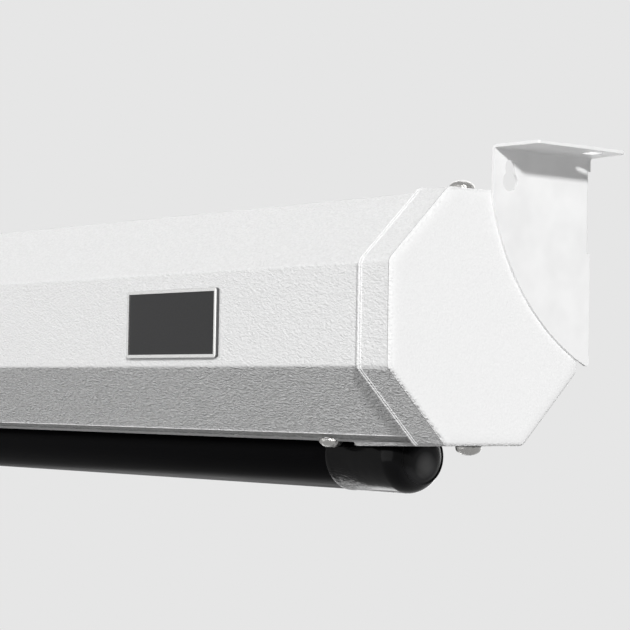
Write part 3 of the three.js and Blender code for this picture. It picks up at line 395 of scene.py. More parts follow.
def makeStudio(values):
    scene = bpy.context.scene
    scene.view_settings.view_transform = "Standard"
    world = bpy.data.worlds.new("paleStudio")
    world.use_nodes = True
    world.node_tree.nodes.clear()
    scene.world = world
    around = addNode(world, "Background", {"Color": (1, 1, 1, 1), "Strength": values["roomLight"]})
    shown = addNode(world, "Background", {"Color": linear(values["pale"]), "Strength": 1})
    mixed = addNode(world, "MixShader", {0: isLookedAt(world), 1: around.outputs[0], 2: shown.outputs[0]})
    addNode(world, "OutputWorld", {"Surface": mixed.outputs[0]})

    # matt floor that throws little light back, so that what faces down stays dark
    floorPaint = newMaterial("paleFloor")
    place = addNode(floorPaint, "TexCoord").outputs["Object"]
    away = addNode(floorPaint, "VectorMath", {0: place}, operation="LENGTH")
    fade = addNode(floorPaint, "MapRange", {
        "Value": away.outputs["Value"], "From Min": values["fadeFrom"], "From Max": values["fadeTo"]},
        interpolation_type="SMOOTHSTEP")
    matt = addNode(floorPaint, "BsdfDiffuse", {"Color": linear(values["floorTone"])})
    glow = addNode(floorPaint, "Emission", {"Color": linear(values["pale"]), "Strength": 1})
    blend = addNode(floorPaint, "MixShader", {0: fade.outputs[0], 1: matt.outputs[0], 2: glow.outputs[0]})
    dimmer = addNode(floorPaint, "BsdfDiffuse", {"Color": linear(values["floorBounce"])})
    whole = addNode(floorPaint, "MixShader", {
        0: isLookedAt(floorPaint), 1: dimmer.outputs[0], 2: blend.outputs[0]})
    addNode(floorPaint, "OutputMaterial", {"Surface": whole.outputs[0]})
    deselectAll()
    bpy.ops.mesh.primitive_circle_add(
        vertices=values["floorRounds"], radius=values["floorRadius"] / 1000, fill_type="NGON",
        location=(0, 0, -values["floorDrop"] / 1000))
    floor = settle(bpy.context.object, "paleFloor")
    floor.data.materials.append(floorPaint)
    addLamp("keyLamp", values["keyTravel"], values["keyStrength"], values["keyAngle"])
    addLamp("fillLamp", values["fillTravel"], values["fillStrength"], values["fillAngle"])
    addLamp("backLamp", values["backTravel"], values["backStrength"], values["backAngle"])
    bounce = addCard("bounceCard", values["bouncePlace"], values["bounceTravel"], values["bounceStrength"],
                     values["bounceSize"])
    bounce.visible_glossy = False
    gloss = addCard("glossCard", values["glossPlace"], values["glossTravel"], values["glossStrength"],
                    values["glossSize"])
    gloss.visible_diffuse = False


makeStudio(studio)
print("studio lit")


def wrinkleCoat(name, dark, light, height):
    # steel with a white polyester powder coat, matt-satin and wrinkled: strokes that lie along X, about 1.6
    # mm long and 0.8 mm wide. The height in millimetres is more than the real depth, which would be lost in
    # the grain of the render.
    coat = newMaterial(name)
    place = addNode(coat, "TexCoord").outputs["Object"]
    drift = addNoise(coat, place, 420, 2)
    bent = addNode(coat, "MixRGB", {
        "Fac": 0.0012, "Color1": place, "Color2": drift.outputs["Color"]},
        blend_type="ADD")
    # stretched along X; the turn keeps the cells of the noise from lining up with the case
    stretch = addNode(coat, "Mapping", {
        "Vector": bent.outputs[0], "Rotation": (0, math.radians(-40), 0), "Scale": (0.62, 1, 1.25)})
    ridges = addNoise(coat, stretch.outputs[0], 980, 2, distortion=0.5)
    pits = addNode(coat, "TexVoronoi", {
        "Vector": stretch.outputs[0], "Scale": 1150, "Smoothness": 0.6}, feature="SMOOTH_F1")
    relief = addMath(coat, "MULTIPLY_ADD", pits.outputs["Distance"], 0.55, ridges.outputs["Fac"])
    # the tone follows the ridges, so the hollows are darker: painted shade in the wrinkles, faint where
    # dark and light are close and strong where they are far apart
    tone = addRamp(coat, ridges.outputs["Fac"], dark, light, 0.3, 0.7)
    gloss = addNode(coat, "MapRange", {"Value": ridges.outputs["Fac"], "To Min": 0.5, "To Max": 0.68})
    grain = addGrain(coat, relief, 0.7, height)
    return addSurface(coat, {
        "Base Color": tone.outputs["Color"], "Roughness": gloss.outputs[0], "IOR": 1.5,
        "Specular IOR Level": 0.35, "Normal": grain})


def smoothCoat():
    # folded steel with a smooth powder coat: a brighter satin white with a faint orange peel of 2.5 mm
    coat = newMaterial("smoothPowderCoat")
    place = addNode(coat, "TexCoord").outputs["Object"]
    peel = addNoise(coat, place, 400, 1.5, 0.4)
    cloud = addNoise(coat, place, 60, 2)
    tone = addRamp(coat, cloud.outputs["Fac"], "#eeeeee", "#f5f5f5", 0.35, 0.65)
    grain = addGrain(coat, peel.outputs["Fac"], 0.25, 0.1)
    return addSurface(coat, {
        "Base Color": tone.outputs["Color"], "Roughness": 0.42, "IOR": 1.5, "Specular IOR Level": 0.4,
        "Normal": grain})


def brightPlate():
    # nickel-plated steel of the screws, pressed and tumbled: bright, with rub marks of 0.3 mm and soft
    # dents of 1.2 mm that break up what it mirrors
    plate = newMaterial("nickelPlatedSteel")
    place = addNode(plate, "TexCoord").outputs["Object"]
    rubAndSheen = addNoise(plate, place, 3000, 4, 0.6)
    gloss = addNode(plate, "MapRange", {"Value": rubAndSheen.outputs["Fac"], "To Min": 0.2, "To Max": 0.34})
    dent = addNoise(plate, place, 850, 1)
    height = addMath(plate, "MULTIPLY_ADD", rubAndSheen.outputs["Fac"], 0.15, dent.outputs["Fac"])
    grain = addGrain(plate, height, 0.8, 0.5)
    return addSurface(plate, {
        "Base Color": linear("#a3a2a0"), "Metallic": 1, "Roughness": gloss.outputs[0],
        "Normal": grain})


def zincPlate():
    # zinc-plated steel sheet and turned pieces: grey with a soft spangle of about 4 mm
    plate = newMaterial("zincPlatedSteel")
    place = addNode(plate, "TexCoord").outputs["Object"]
    spangle = addNode(plate, "TexVoronoi", {"Vector": place, "Scale": 250})
    fine = addNoise(plate, place, 1800, 3)
    tone = addRamp(plate, spangle.outputs["Distance"], "#b9bcbe", "#a2a6a9")
    gloss = addNode(plate, "MapRange", {"Value": fine.outputs["Fac"], "To Min": 0.28, "To Max": 0.46})
    grain = addGrain(plate, fine.outputs["Fac"], 0.2, 0.04)
    return addSurface(plate, {
        "Base Color": tone.outputs["Color"], "Metallic": 1, "Roughness": gloss.outputs[0],
        "Normal": grain})


def millAluminium():
    # extruded aluminium tube, mill finish: draw lines along X, too fine to show and so drawn coarser,
    # 0.4 mm apart
    metal = newMaterial("millAluminium")
    place = addNode(metal, "TexCoord").outputs["Object"]
    stretch = addNode(metal, "Mapping", {"Vector": place, "Scale": (12, 2500, 2500)})
    lines = addNoise(metal, stretch.outputs[0], 1, 3)
    gloss = addNode(metal, "MapRange", {"Value": lines.outputs["Fac"], "To Min": 0.25, "To Max": 0.45})
    grain = addGrain(metal, lines.outputs["Fac"], 0.3, 0.04)
    return addSurface(metal, {
        "Base Color": linear("#b3b6b8"), "Metallic": 1, "Roughness": gloss.outputs[0],
        "Normal": grain})


def moulded(name, dark, light, roughness, sparkMm):
    # injection-moulded plastic with a spark-eroded grain of the given size in millimetres
    plastic = newMaterial(name)
    place = addNode(plastic, "TexCoord").outputs["Object"]
    grit = addNoise(plastic, place, 1000 / sparkMm, 2)
    tone = addRamp(plastic, grit.outputs["Fac"], dark, light, 0.3, 0.7)
    grain = addGrain(plastic, grit.outputs["Fac"], 0.25, 0.05)
    return addSurface(plastic, {
        "Base Color": tone.outputs["Color"], "Roughness": roughness, "IOR": 1.5,
        "Normal": grain})


def barEnamel():
    # stoved black enamel on the aluminium bar: satin, with a faint drawn grain along X, 1.1 mm apart
    enamel = newMaterial("blackStovedEnamel")
    place = addNode(enamel, "TexCoord").outputs["Object"]
    stretch = addNode(enamel, "Mapping", {"Vector": place, "Scale": (60, 900, 900)})
    drawn = addNoise(enamel, stretch.outputs[0], 1, 2)
    dust = addNoise(enamel, place, 1600, 2)
    height = addMath(enamel, "MULTIPLY_ADD", drawn.outputs["Fac"], 0.6, dust.outputs["Fac"])
    gloss = addNode(enamel, "MapRange", {"Value": drawn.outputs["Fac"], "To Min": 0.34, "To Max": 0.46})
    grain = addGrain(enamel, height, 0.35, 0.04)
    return addSurface(enamel, {
        "Base Color": linear("#030304"), "Roughness": gloss.outputs[0], "IOR": 1.33,
        "Specular IOR Level": 0.03, "Normal": grain})


# Marks on the bar's end cap: a painted grey highlight, rubbed rougher, round a spot of its nose, and
# creases on the underside near its mouth; each mark is full at one value and ends at the other
capSheenAndCreases = {
    "spot": (1011.7, -50.8, -122.9), "sheenSpotEnd": 12.5, "sheenSpotFull": 0.5,
    "creaseEnd": 992, "creaseFull": 968, "underEnd": -122, "underFull": -130,
}


def glossVinyl(v):
    # dipped black vinyl of the bar's end cap: glossy and slightly wavy over 5 mm, with creases about 3 mm
    # long and 1 mm wide on the underside for 25 mm from its mouth, and a painted grey highlight in the
    # middle of its nose, where it is also rougher
    vinyl = newMaterial("glossBlackVinyl")
    place = addNode(vinyl, "TexCoord").outputs["Object"]
    wave = addNoise(vinyl, place, 190, 1.5)
    speck = addNoise(vinyl, place, 2200, 1)
    height = addMath(vinyl, "MULTIPLY_ADD", speck.outputs["Fac"], 0.03, wave.outputs["Fac"])
    stretch = addNode(vinyl, "Mapping", {
        "Vector": place, "Rotation": (0, math.radians(35), 0), "Scale": (300, 900, 900)})
    crease = addNoise(vinyl, stretch.outputs[0], 1, 3, distortion=1.5)
    spots = addNode(vinyl, "SeparateXYZ", {0: place})
    along = addMath(vinyl, "ABSOLUTE", spots.outputs["X"])
    nearMouth = addNode(vinyl, "MapRange", {
        "Value": along, "From Min": v["creaseEnd"] / 1000, "From Max": v["creaseFull"] / 1000},
        interpolation_type="SMOOTHSTEP")
    below = addNode(vinyl, "MapRange", {
        "Value": spots.outputs["Z"], "From Min": v["underEnd"] / 1000, "From Max": v["underFull"] / 1000},
        interpolation_type="SMOOTHSTEP")
    where = addMath(vinyl, "MULTIPLY", nearMouth.outputs[0], below.outputs[0])
    creased = addMath(vinyl, "MULTIPLY", where, crease.outputs["Fac"])
    height = addMath(vinyl, "MULTIPLY_ADD", creased, 5, height)
    mirrored = addNode(vinyl, "CombineXYZ", {
        "X": along, "Y": spots.outputs["Y"], "Z": spots.outputs["Z"]})
    fromSheenSpot = addNode(vinyl, "VectorMath", {0: mirrored.outputs[0], 1: at(*v["spot"])},
                      operation="DISTANCE")
    rubAndSheen = addNode(vinyl, "MapRange", {
        "Value": fromSheenSpot.outputs["Value"], "From Min": v["sheenSpotEnd"] / 1000, "From Max": v["sheenSpotFull"] / 1000},
        interpolation_type="SMOOTHSTEP")
    # painted highlight: the nose's middle is painted grey where a reflection would show
    tone = addRamp(vinyl, rubAndSheen.outputs[0], "#060607", "#6e6e6e")
    tone.color_ramp.elements.new(0.6).color = linear("#2b2b2c")
    gloss = addNode(vinyl, "MapRange", {"Value": rubAndSheen.outputs[0], "To Min": 0.15, "To Max": 0.45})
    grain = addGrain(vinyl, height, 0.3, 0.4)
    return addSurface(vinyl, {
        "Base Color": tone.outputs["Color"], "Roughness": gloss.outputs[0], "IOR": 1.45,
        "Specular IOR Level": 0.1, "Normal": grain})


def plateField():
    # sunk field of the bare plate: black enamel, even and half gloss, with dust grain of 0.5 mm
    field = newMaterial("blackPlateEnamel")
    place = addNode(field, "TexCoord").outputs["Object"]
    dust = addNoise(field, place, 1900, 3)
    tone = addRamp(field, dust.outputs["Fac"], "#1e1e1f", "#2a2a2b", 0.3, 0.7)
    grain = addGrain(field, dust.outputs["Fac"], 0.2, 0.05)
    return addSurface(field, {
        "Base Color": tone.outputs["Color"], "Roughness": 0.38, "IOR": 1.5, "Specular IOR Level": 0.25,
        "Normal": grain})


def plateRim():
    # pressed rim of the bare plate: chromed, softly brushed along X with lines 0.25 mm apart
    rim = newMaterial("brushedChrome")
    place = addNode(rim, "TexCoord").outputs["Object"]
    stretch = addNode(rim, "Mapping", {"Vector": place, "Scale": (150, 4000, 4000)})
    brushed = addNoise(rim, stretch.outputs[0], 1, 3)
    gloss = addNode(rim, "MapRange", {"Value": brushed.outputs["Fac"], "To Min": 0.2, "To Max": 0.38})
    grain = addGrain(rim, brushed.outputs["Fac"], 0.2, 0.03)
    return addSurface(rim, {
        "Base Color": linear("#dededd"), "Metallic": 1, "Roughness": gloss.outputs[0],
        "Normal": grain})


def screenVinyl(v):
    # glass-fibre screen cloth coated with vinyl: matt white viewing side with a grain of 0.8 mm, black
    # borders printed on it, black back; the UV map counts metres across and down the drawn screen
    cloth = newMaterial("matteWhiteScreenVinyl")
    chart = addNode(cloth, "UVMap", uv_map="drawn")
    place = addNode(cloth, "SeparateXYZ", {0: chart.outputs[0]})
    weave = addNoise(cloth, chart.outputs[0], 1250, 2)
    tone = addRamp(cloth, weave.outputs["Fac"], "#ececec", "#f4f4f4", 0.35, 0.65)
    # inside the black borders on all four sides
    side = addMath(cloth, "ABSOLUTE", place.outputs["X"])
    within = addMath(cloth, "LESS_THAN", side, v["viewWidth"] / 2000)
    under = addMath(cloth, "GREATER_THAN", place.outputs["Y"], v["viewFrom"] / 1000)
    over = addMath(cloth, "LESS_THAN", place.outputs["Y"], v["viewTo"] / 1000)
    view = addMath(cloth, "MULTIPLY", within, under)
    view = addMath(cloth, "MULTIPLY", view, over)
    facing = addNode(cloth, "NewGeometry")
    normal = addNode(cloth, "SeparateXYZ", {0: facing.outputs["True Normal"]})
    front = addMath(cloth, "LESS_THAN", normal.outputs["Y"], 0)
    view = addMath(cloth, "MULTIPLY", view, front)
    colour = addNode(cloth, "MixRGB", {
        "Fac": view, "Color1": linear("#121213"), "Color2": tone.outputs["Color"]})
    grain = addGrain(cloth, weave.outputs["Fac"], 0.3, 0.1)
    return addSurface(cloth, {
        "Base Color": colour.outputs[0], "Roughness": 0.85, "Specular IOR Level": 0.25,
        "Normal": grain})


def hemCloth():
    # black woven cloth of the hem and of the wound screen; the real threads are too fine to show, so they
    # are drawn coarser, 1.2 mm apart
    cloth = newMaterial("blackHemCloth")
    place = addNode(cloth, "TexCoord").outputs["Object"]
    warp = addNode(cloth, "TexWave", {"Vector": place, "Scale": 265},
                   bands_direction="X", wave_profile="SIN")
    weft = addNode(cloth, "TexWave", {"Vector": place, "Scale": 265},
                   bands_direction="Z", wave_profile="SIN")
    weave = addMath(cloth, "MULTIPLY", warp.outputs["Fac"], weft.outputs["Fac"])
    tone = addRamp(cloth, weave, "#0f0f10", "#1e1e20")
    grain = addGrain(cloth, weave, 0.4, 0.08)
    return addSurface(cloth, {
        "Base Color": tone.outputs["Color"], "Roughness": 0.85, "Sheen Weight": 0.15,
        "Normal": grain})


# The cloth: its winding on the roller, its free part, and its hem, a sleeve that starts at one angle
# and sweeps through another, in degrees. The view is what a fully drawn screen shows, measured down
# from the roller's axis.
fabric = {
    "width": 1935, "thick": 0.3, "rollerY": -74.5, "rollerZ": -63.9, "rollInner": 19.12, "rollOuter": 23.3,
    "turns": 11.3, "stepsPerTurn": 24, "dropY": -50.6, "dropFrom": -63.9, "dropTo": -106.6, "dropRows": 120,
    "travel": 1385.69, "viewWidth": 1859, "viewFrom": 342.7, "viewTo": 1388.4,
    "hemZ": -109.6, "hemRadius": 2.55, "hemSteps": 20, "hemFrom": 105, "hemSweep": 330, "hemApart": 0.2,
    "hemLap": 0.1, "strips": 6,
}

finish = {
    "wrinkle": wrinkleCoat("wrinklePowderCoat", "#ececec", "#f6f6f6", 0.5),
    # painted shade in the wrinkle hollows of what faces down
    "wrinkleShadeBelow": wrinkleCoat("wrinklePowderCoatBelow", "#d9d9d9", "#ffffff", 1.7),
    # painted shade on the folded hem and on the tongue
    "paintedShadeGrey": wrinkleCoat("powderCoatInHem", "#a6a6a6", "#c8c8c8", 1.0),
    "face": wrinkleCoat("wrinkleCoatPressed", "#f1f1f1", "#f6f6f6", 0.18),
    # painted shade in the crease round the face
    "crease": wrinkleCoat("powderCoatInCrease", "#c2c2c2", "#cecece", 0.3),
    "smooth": smoothCoat(),
    "nickel": brightPlate(),
    "zinc": zincPlate(),
    "aluminium": millAluminium(),
    "enamel": barEnamel(),
    "vinyl": glossVinyl(capSheenAndCreases),
    "screen": screenVinyl(fabric),
    "hem": hemCloth(),
    "rim": plateRim(),
    "field": plateField(),
    # painted shade: the plate's sides are a dark grey for the shade and the dark reflection on them
    "plateSide": moulded("darkPlateEdge", "#3c3c3d", "#5a5a5b", 0.4, 0.4),
    "nylon": moulded("whiteNylon", "#dfdfda", "#ebebe6", 0.45, 0.8),
    "motorPlastic": moulded("blackNylonGlassFilled", "#101011", "#1b1b1d", 0.42, 0.5),
    "greyPlastic": moulded("greyAbs", "#333438", "#3f4044", 0.5, 0.7),
    "rubber": moulded("blackRubber", "#171718", "#202022", 0.65, 0.4),
}
print("finishes mixed")


# Pieces whose CAD shape is right, with their edges broken
carried = [
    # node, name, finish, slot, broken edge
    ("case_shell", "caseShell", "wrinkle", "powder_coat", 0),
    ("bracket_right", "bracketRight", "smooth", "bracket_paint", 0.25),
    ("bracket_left", "bracketLeft", "smooth", "bracket_paint", 0.25),
    ("bracket_nut_upper_right", "bracketNutUpperRight", "zinc", "zinc_steel", 0.15),
    ("bracket_nut_lower_right", "bracketNutLowerRight", "zinc", "zinc_steel", 0.15),
    ("bracket_nut_upper_left", "bracketNutUpperLeft", "zinc", "zinc_steel", 0.15),
    ("bracket_nut_lower_left", "bracketNutLowerLeft", "zinc", "zinc_steel", 0.15),
    ("idler_plate", "idlerPlate", "zinc", "zinc_steel", 0.2),
    ("motor_plate", "motorPlate", "zinc", "zinc_steel", 0.2),
    ("idler_bush", "idlerBush", "nylon", "white_plastic", 0.2),
    ("idler_pin", "idlerPin", "zinc", "zinc_steel", 0),
    ("idler_clip", "idlerClip", "zinc", "zinc_steel", 0.15),
    ("idler_plug", "idlerPlug", "greyPlastic", "grey_plastic", 0.25),
    ("motor_head", "motorHead", "motorPlastic", "motor_plastic", 0.3),
    ("motor_housing", "motorHousing", "zinc", "zinc_steel", 0),
    ("limit_screw_up", "limitScrewUp", "nylon", "white_plastic", 0.2),
    ("limit_screw_down", "limitScrewDown", "nylon", "white_plastic", 0.2),
    ("receiver_box", "receiverBox", "greyPlastic", "grey_plastic", 0.25),
    ("receiver_cover", "receiverCover", "greyPlastic", "grey_plastic", 0.5),
    ("motor_lead", "motorLead", "rubber", "lead_rubber", 0),
    ("cord_gland", "cordGland", "motorPlastic", "motor_plastic", 0.3),
    ("gland_nut", "glandNut", "motorPlastic", "motor_plastic", 0.3),
    ("roller_tube", "rollerTube", "aluminium", "tube_aluminium", 0),
    ("crown_ring", "crownRing", "nylon", "white_plastic", 0.2),
    ("motor_shaft", "motorShaft", "zinc", "zinc_steel", 0.2),
    ("drive_wheel", "driveWheel", "greyPlastic", "grey_plastic", 0.25),
    ("drive_screw_upper", "driveScrewUpper", "zinc", "zinc_steel", 0),
    ("drive_screw_lower", "driveScrewLower", "zinc", "zinc_steel", 0),
    ("weight_bar", "weightBar", "enamel", "bar_paint", 0),
    ("hem_rod", "hemRod", "zinc", "zinc_steel", 0),
]
for node, name, paint, slot, edge in carried:
    roundedCopy(node, name, finish[paint], slot, edge)
print("frame pieces carried over")

# The folded hem along each lip of the slot stands proud of the slope and leans in under it; its foot and
# its screws are measured from the middle of the slot
hem = {
    "middleY": -53.8, "footY": 21.49, "top": -111.3, "ledge": 0.4, "proud": 0.6, "sheet": 0.6,
    "depth": 1.2, "leanIn": 4.0, "lower": 1.1, "screwX": 976.6, "screwY": 16.7, "seatZ": -113.1,
    "seatRadius": 6.6, "notchDepth": 4,
}


def formHem(shell, v):
    def beyondFoot(c, side):
        return side * (c.y - v["middleY"]) - v["footY"]

    editAll(shell)
    bpy.ops.mesh.bisect(plane_co=at(0, 0, v["top"] + v["ledge"]), plane_no=(0, 0, 1))
    leave()
    for side in (-1, 1):
        editWhere(shell, "VERT", lambda c: abs(c.z - v["top"]) < 0.05
                  and abs(beyondFoot(c, side)) < 0.1)
        bpy.ops.transform.translate(value=at(0, side * v["proud"], 0))
        leave()
        editWhere(shell, "VERT", lambda c: c.z < v["top"] - v["depth"]
                  and -v["sheet"] < beyondFoot(c, side) < 0.1)
        bpy.ops.transform.translate(value=at(0, -side * v["leanIn"], -v["lower"]))
        leave()
    # notched round each lip screw, whose head bears on the lip above the hem
    for x in (-v["screwX"], v["screwX"]):
        drill(shell, at(x, v["middleY"] - v["screwY"], v["seatZ"] - v["notchDepth"] / 2),
              v["seatRadius"], "Z", v["notchDepth"])
    smooth(shell, 30)


def coatHem(shell, v):
    # painted shade: the sloping faces of the folded hem get a darker grey coat for the shade they lie in
    shell.data.materials.append(finish["paintedShadeGrey"])
    for face in shell.data.polygons:
        out = abs(face.center.y * 1000 - v["middleY"])
        sloping = -0.98 < face.normal.z < -0.3
        below = face.center.z * 1000 < v["top"] - 0.2
        if sloping and below and v["footY"] - v["leanIn"] < out < v["footY"]:
            face.material_index = 1


def coatBelow(obj):
    # painted shade: what faces down gets a coat whose wrinkle hollows are painted darker and its peaks
    # lighter, with a higher relief
    obj.data.materials.append(finish["wrinkleShadeBelow"])
    for face in obj.data.polygons:
        if face.material_index == 0 and face.normal.z < -0.5:
            face.material_index = len(obj.data.materials) - 1


formHem(bpy.data.objects["caseShell"], hem)
coatHem(bpy.data.objects["caseShell"], hem)
coatBelow(bpy.data.objects["caseShell"])
print("lips folded")

# Formed end cap: octagonal face, skirt with a stepped rim, and the tongue beside the slot; rim and crown
# are steps, each drawn in by a width and set on along X
endCap = {
    "front": -103.6, "back": -4.0, "top": -16.9, "bottom": -114.9, "run": 29.4, "rise": 28.9,
    "cornerCut": 1.5, "rimX": 1029.7, "faceX": 1048.0, "wall": 1.2,
    "rim": ((0.0, 0.8), (0.25, 0.15), (0.0, 0.9), (0.25, 0.15)), "rimEdge": 0.15,
    "creaseX": 1046.2, "creaseWidth": 0.4, "creaseDepth": 0.25, "strip": 0.4,
    "crown": ((0.2, 0.35), (0.4, 0.4), (0.7, 0.35), (1.2, 0.2), (1.6, 0.1)), "faceStrip": 1,
    "tongueTip": 992.4, "tongueFront": -72.8, "tongueBack": -66.8, "tongueTop": -113.4, "tongueSag": 0.8,
    "tongueTipCut": 1.2, "tongueLean": 1.0, "tongueRoot": 1.5, "tongueShy": 0.05, "tongueEdge": 0.2,
    "screwX": 1038.0, "topScrewY": -59.1, "bottomScrewY": -53.8, "screwHole": 2.8,
    "studs": ((-28.0, -35.53), (-18.0, -60.9)),
    "glandY": -52.6, "glandZ": -96.9, "glandHole": 8.3,
    "accessY": (-81.5, -67.5), "accessZ": -75.9, "accessHole": 3.6,
    "topSeatZ": -17.25, "bottomSeatZ": -114.55,
}


def makeEndCap(v):
    front, back, top, bottom, run, rise = (v[k] for k in ("front", "back", "top", "bottom", "run", "rise"))
    corners = [
        (front, top - rise), (front + run, top), (back - run, top), (back, top - rise),
        (back, bottom + rise), (back - run, bottom), (front + run, bottom), (front, bottom + rise)]
    middle = Vector((0, (front + back) / 2, (top + bottom) / 2))

    drawn = 0

    def taper(width, step):
        # every flat lies about as far from the middle, so a scaled copy of the outline is drawn in evenly
        nonlocal drawn
        share = 1 - width / ((top - bottom) / 2 - drawn)
        drawn += width
        pushOn(at(step, 0, 0))
        bpy.ops.transform.resize(value=(1, share, share), center_override=middle / 1000)

    cap = drawOutline([at(v["rimX"], y, z) for y, z in corners], "endCapRight", v["cornerCut"], (1, 0, 0))
    editAll(cap)
    for width, step in v["rim"]:
        taper(width, step)
    skirtStart = v["rimX"] + sum(step for width, step in v["rim"])
    # the skirt, with a narrow strip at both ends that keeps its shading flat
    pushOn(at(v["strip"], 0, 0))
    pushOn(at(v["creaseX"] - skirtStart - 2 * v["strip"], 0, 0))
    pushOn(at(v["strip"], 0, 0))
    pushOn(at(v["creaseWidth"], 0, 0))
    for width, step in v["crown"]:
        taper(width, step)
    taper(v["faceStrip"], 0)
    leave()
    faceOut(cap)
    editWhere(cap, "FACE", lambda c, n: abs(c.x - v["creaseX"] - v["creaseWidth"] / 2) < 0.05
              and (c - middle).dot(n) > 0)
    bpy.ops.mesh.extrude_region_shrink_fatten(
        TRANSFORM_OT_shrink_fatten={"value": -v["creaseDepth"] / 1000})
    leave()
    editWhere(cap, "EDGE", lambda a, b: abs(a.x - v["rimX"]) < 0.01 and abs(b.x - v["rimX"]) < 0.01)
    bpy.ops.mesh.bevel(offset=v["rimEdge"] / 1000, segments=3, affect="EDGES")
    leave()
    # hollowed from the open side, with the same wall all round
    hollow = drawOutline([at(v["rimX"] - 1, y, z) for y, z in corners], "hollow", v["cornerCut"], (1, 0, 0))
    inset = v["wall"] + sum(width for width, step in v["rim"])
    share = 1 - inset * 2 / (top - bottom)
    editAll(hollow)
    bpy.ops.transform.resize(value=(1, share, share), center_override=middle / 1000)
    pushOn(at(v["faceX"] - v["wall"] - v["rimX"] + 1, 0, 0))
    leave()
    faceOut(hollow)
    cutWith(cap, hollow)
    return cap


def addTongue(cap, v):
    # a flat bar from inside the skirt to a rounded tip that hangs a little, its front leaning back
    tip, root = v["tongueTip"], v["rimX"] + v["tongueRoot"]
    front, back = v["tongueFront"], v["tongueBack"]
    tongue = drawOutline([at(x, y, v["tongueTop"]) for x, y in (
        (tip, front), (root, front), (root, back), (tip, back))], "tongue")
    editWhere(tongue, "VERT", lambda c: c.x < tip + 1)
    bpy.ops.mesh.bevel(offset=v["tongueTipCut"] / 1000, segments=4, affect="VERTICES")
    leave()
    pull(tongue, at(0, 0, v["bottom"] + v["tongueShy"] - v["tongueTop"]))
    editWhere(tongue, "VERT", lambda c: c.x < tip + 2)
    bpy.ops.transform.translate(value=at(0, 0, -v["tongueSag"]))
    leave()
    editWhere(tongue, "VERT", lambda c: c.y < front + 1 and c.x < v["rimX"]
              and c.z < v["bottom"] + 0.1)
    bpy.ops.transform.translate(value=at(0, v["tongueLean"], 0))
    leave()
    editWhere(tongue, "EDGE", lambda a, b: abs(a.z - b.z) < 0.01)
    bpy.ops.mesh.bevel(offset=v["tongueEdge"] / 1000, segments=2, affect="EDGES")
    leave()
    cutWith(cap, tongue, "UNION")


def drillCap(cap, v):
    drill(cap, at(v["screwX"], v["topScrewY"], v["top"]), v["screwHole"], "Z")
    drill(cap, at(v["screwX"], v["bottomScrewY"], v["bottom"]), v["screwHole"], "Z")
    for y, z in v["studs"]:
        drill(cap, at(v["faceX"], y, z), v["screwHole"], "X")


def paintCap(cap, v):
    # painted shade: the crease and the tongue get darker grey coats for the shade they lie in; the flat
    # face gets a smoother coat than the skirt
    crease, flat, tongue = 1, 2, 3
    for name in ("crease", "face", "paintedShadeGrey"):
        cap.data.materials.append(finish[name])
    for face in cap.data.polygons:
        xs = [abs(cap.data.vertices[i].co.x) * 1000 for i in face.vertices]
        if min(xs) < v["rimX"] - 1 and max(xs) < v["rimX"] + 0.01:
            face.material_index = tongue
        if min(xs) > v["creaseX"] - 0.01:
            if max(xs) < v["creaseX"] + v["creaseWidth"] + 0.01:
                face.material_index = crease
            elif abs(face.normal.x) > 0.98:
                face.material_index = flat


capRight = makeEndCap(endCap)
addTongue(capRight, endCap)
drillCap(capRight, endCap)
capLeft = twinOf(capRight, "endCapLeft", flip=-1)
drill(capLeft, at(-endCap["faceX"], endCap["glandY"], endCap["glandZ"]), endCap["glandHole"], "X")
for y in endCap["accessY"]:
    drill(capLeft, at(-endCap["faceX"], y, endCap["accessZ"]), endCap["accessHole"], "X")
for cap, node in ((capRight, "end_cap_right"), (capLeft, "end_cap_left")):
    smooth(cap, 40)
    dress(cap, finish["wrinkle"], "case", "powder_coat", node)
    paintCap(cap, endCap)
    coatBelow(cap)
print("end caps formed")

# Pan-head screw with a cross recess, head up, washer face at the origin
panScrew = {
    "radius": 5.0, "rim": 0.8, "rimEdge": 0.3, "dome": 2.9, "domeSteps": 6, "shank": 2.5, "tipCut": 0.5,
    "rounds": 32, "recessReach": 2.7, "recessWidth": 1.1, "recessDepth": 1.7, "recessTaper": 0.55,
    "recessClear": 0.3,
}


def makePanScrew(v, length):
    deselectAll()
    bpy.ops.mesh.primitive_circle_add(vertices=v["rounds"], radius=v["radius"] / 1000, fill_type="NGON")
    screw = settle(bpy.context.object, "screwModel")
    editAll(screw)
    pushOn(at(0, 0, v["rim"]))
    for k in range(v["domeSteps"] - 1):
        turn, after = (math.pi / 2 * i / v["domeSteps"] for i in (k, k + 1))
        drawIn(v["radius"] * (math.cos(turn) - math.cos(after)),
               v["dome"] * (math.sin(after) - math.sin(turn)))
    leave()
    faceOut(screw)
    editWhere(screw, "FACE", lambda c, n: c.z < 0.01)
    drawIn(v["radius"] - v["shank"])
    pushOn(at(0, 0, v["tipCut"] - length))
    drawIn(v["tipCut"], v["tipCut"])
    leave()
    faceOut(screw)
    editWhere(screw, "EDGE", lambda a, b: abs(a.z) < 0.01 and abs(b.z) < 0.01
              and min(a.xy.length, b.xy.length) > v["radius"] - 0.1)
    bpy.ops.mesh.bevel(offset=v["rimEdge"] / 1000, segments=2, affect="EDGES")
    leave()
    arm, half, crown = v["recessReach"], v["recessWidth"] / 2, v["rim"] + v["dome"] + v["recessClear"]
    cross = drawOutline([at(x, y, crown) for x, y in (
        (arm, half), (half, half), (half, arm), (-half, arm), (-half, half), (-arm, half),
        (-arm, -half), (-half, -half), (-half, -arm), (half, -arm), (half, -half), (arm, -half))], "cross")
    editAll(cross)
    pushOn(at(0, 0, -v["recessDepth"] - v["recessClear"]))
    bpy.ops.transform.resize(value=(v["recessTaper"], v["recessTaper"], 1))
    leave()
    faceOut(cross)
    cutWith(screw, cross)
    smooth(screw, 40)
    return screw


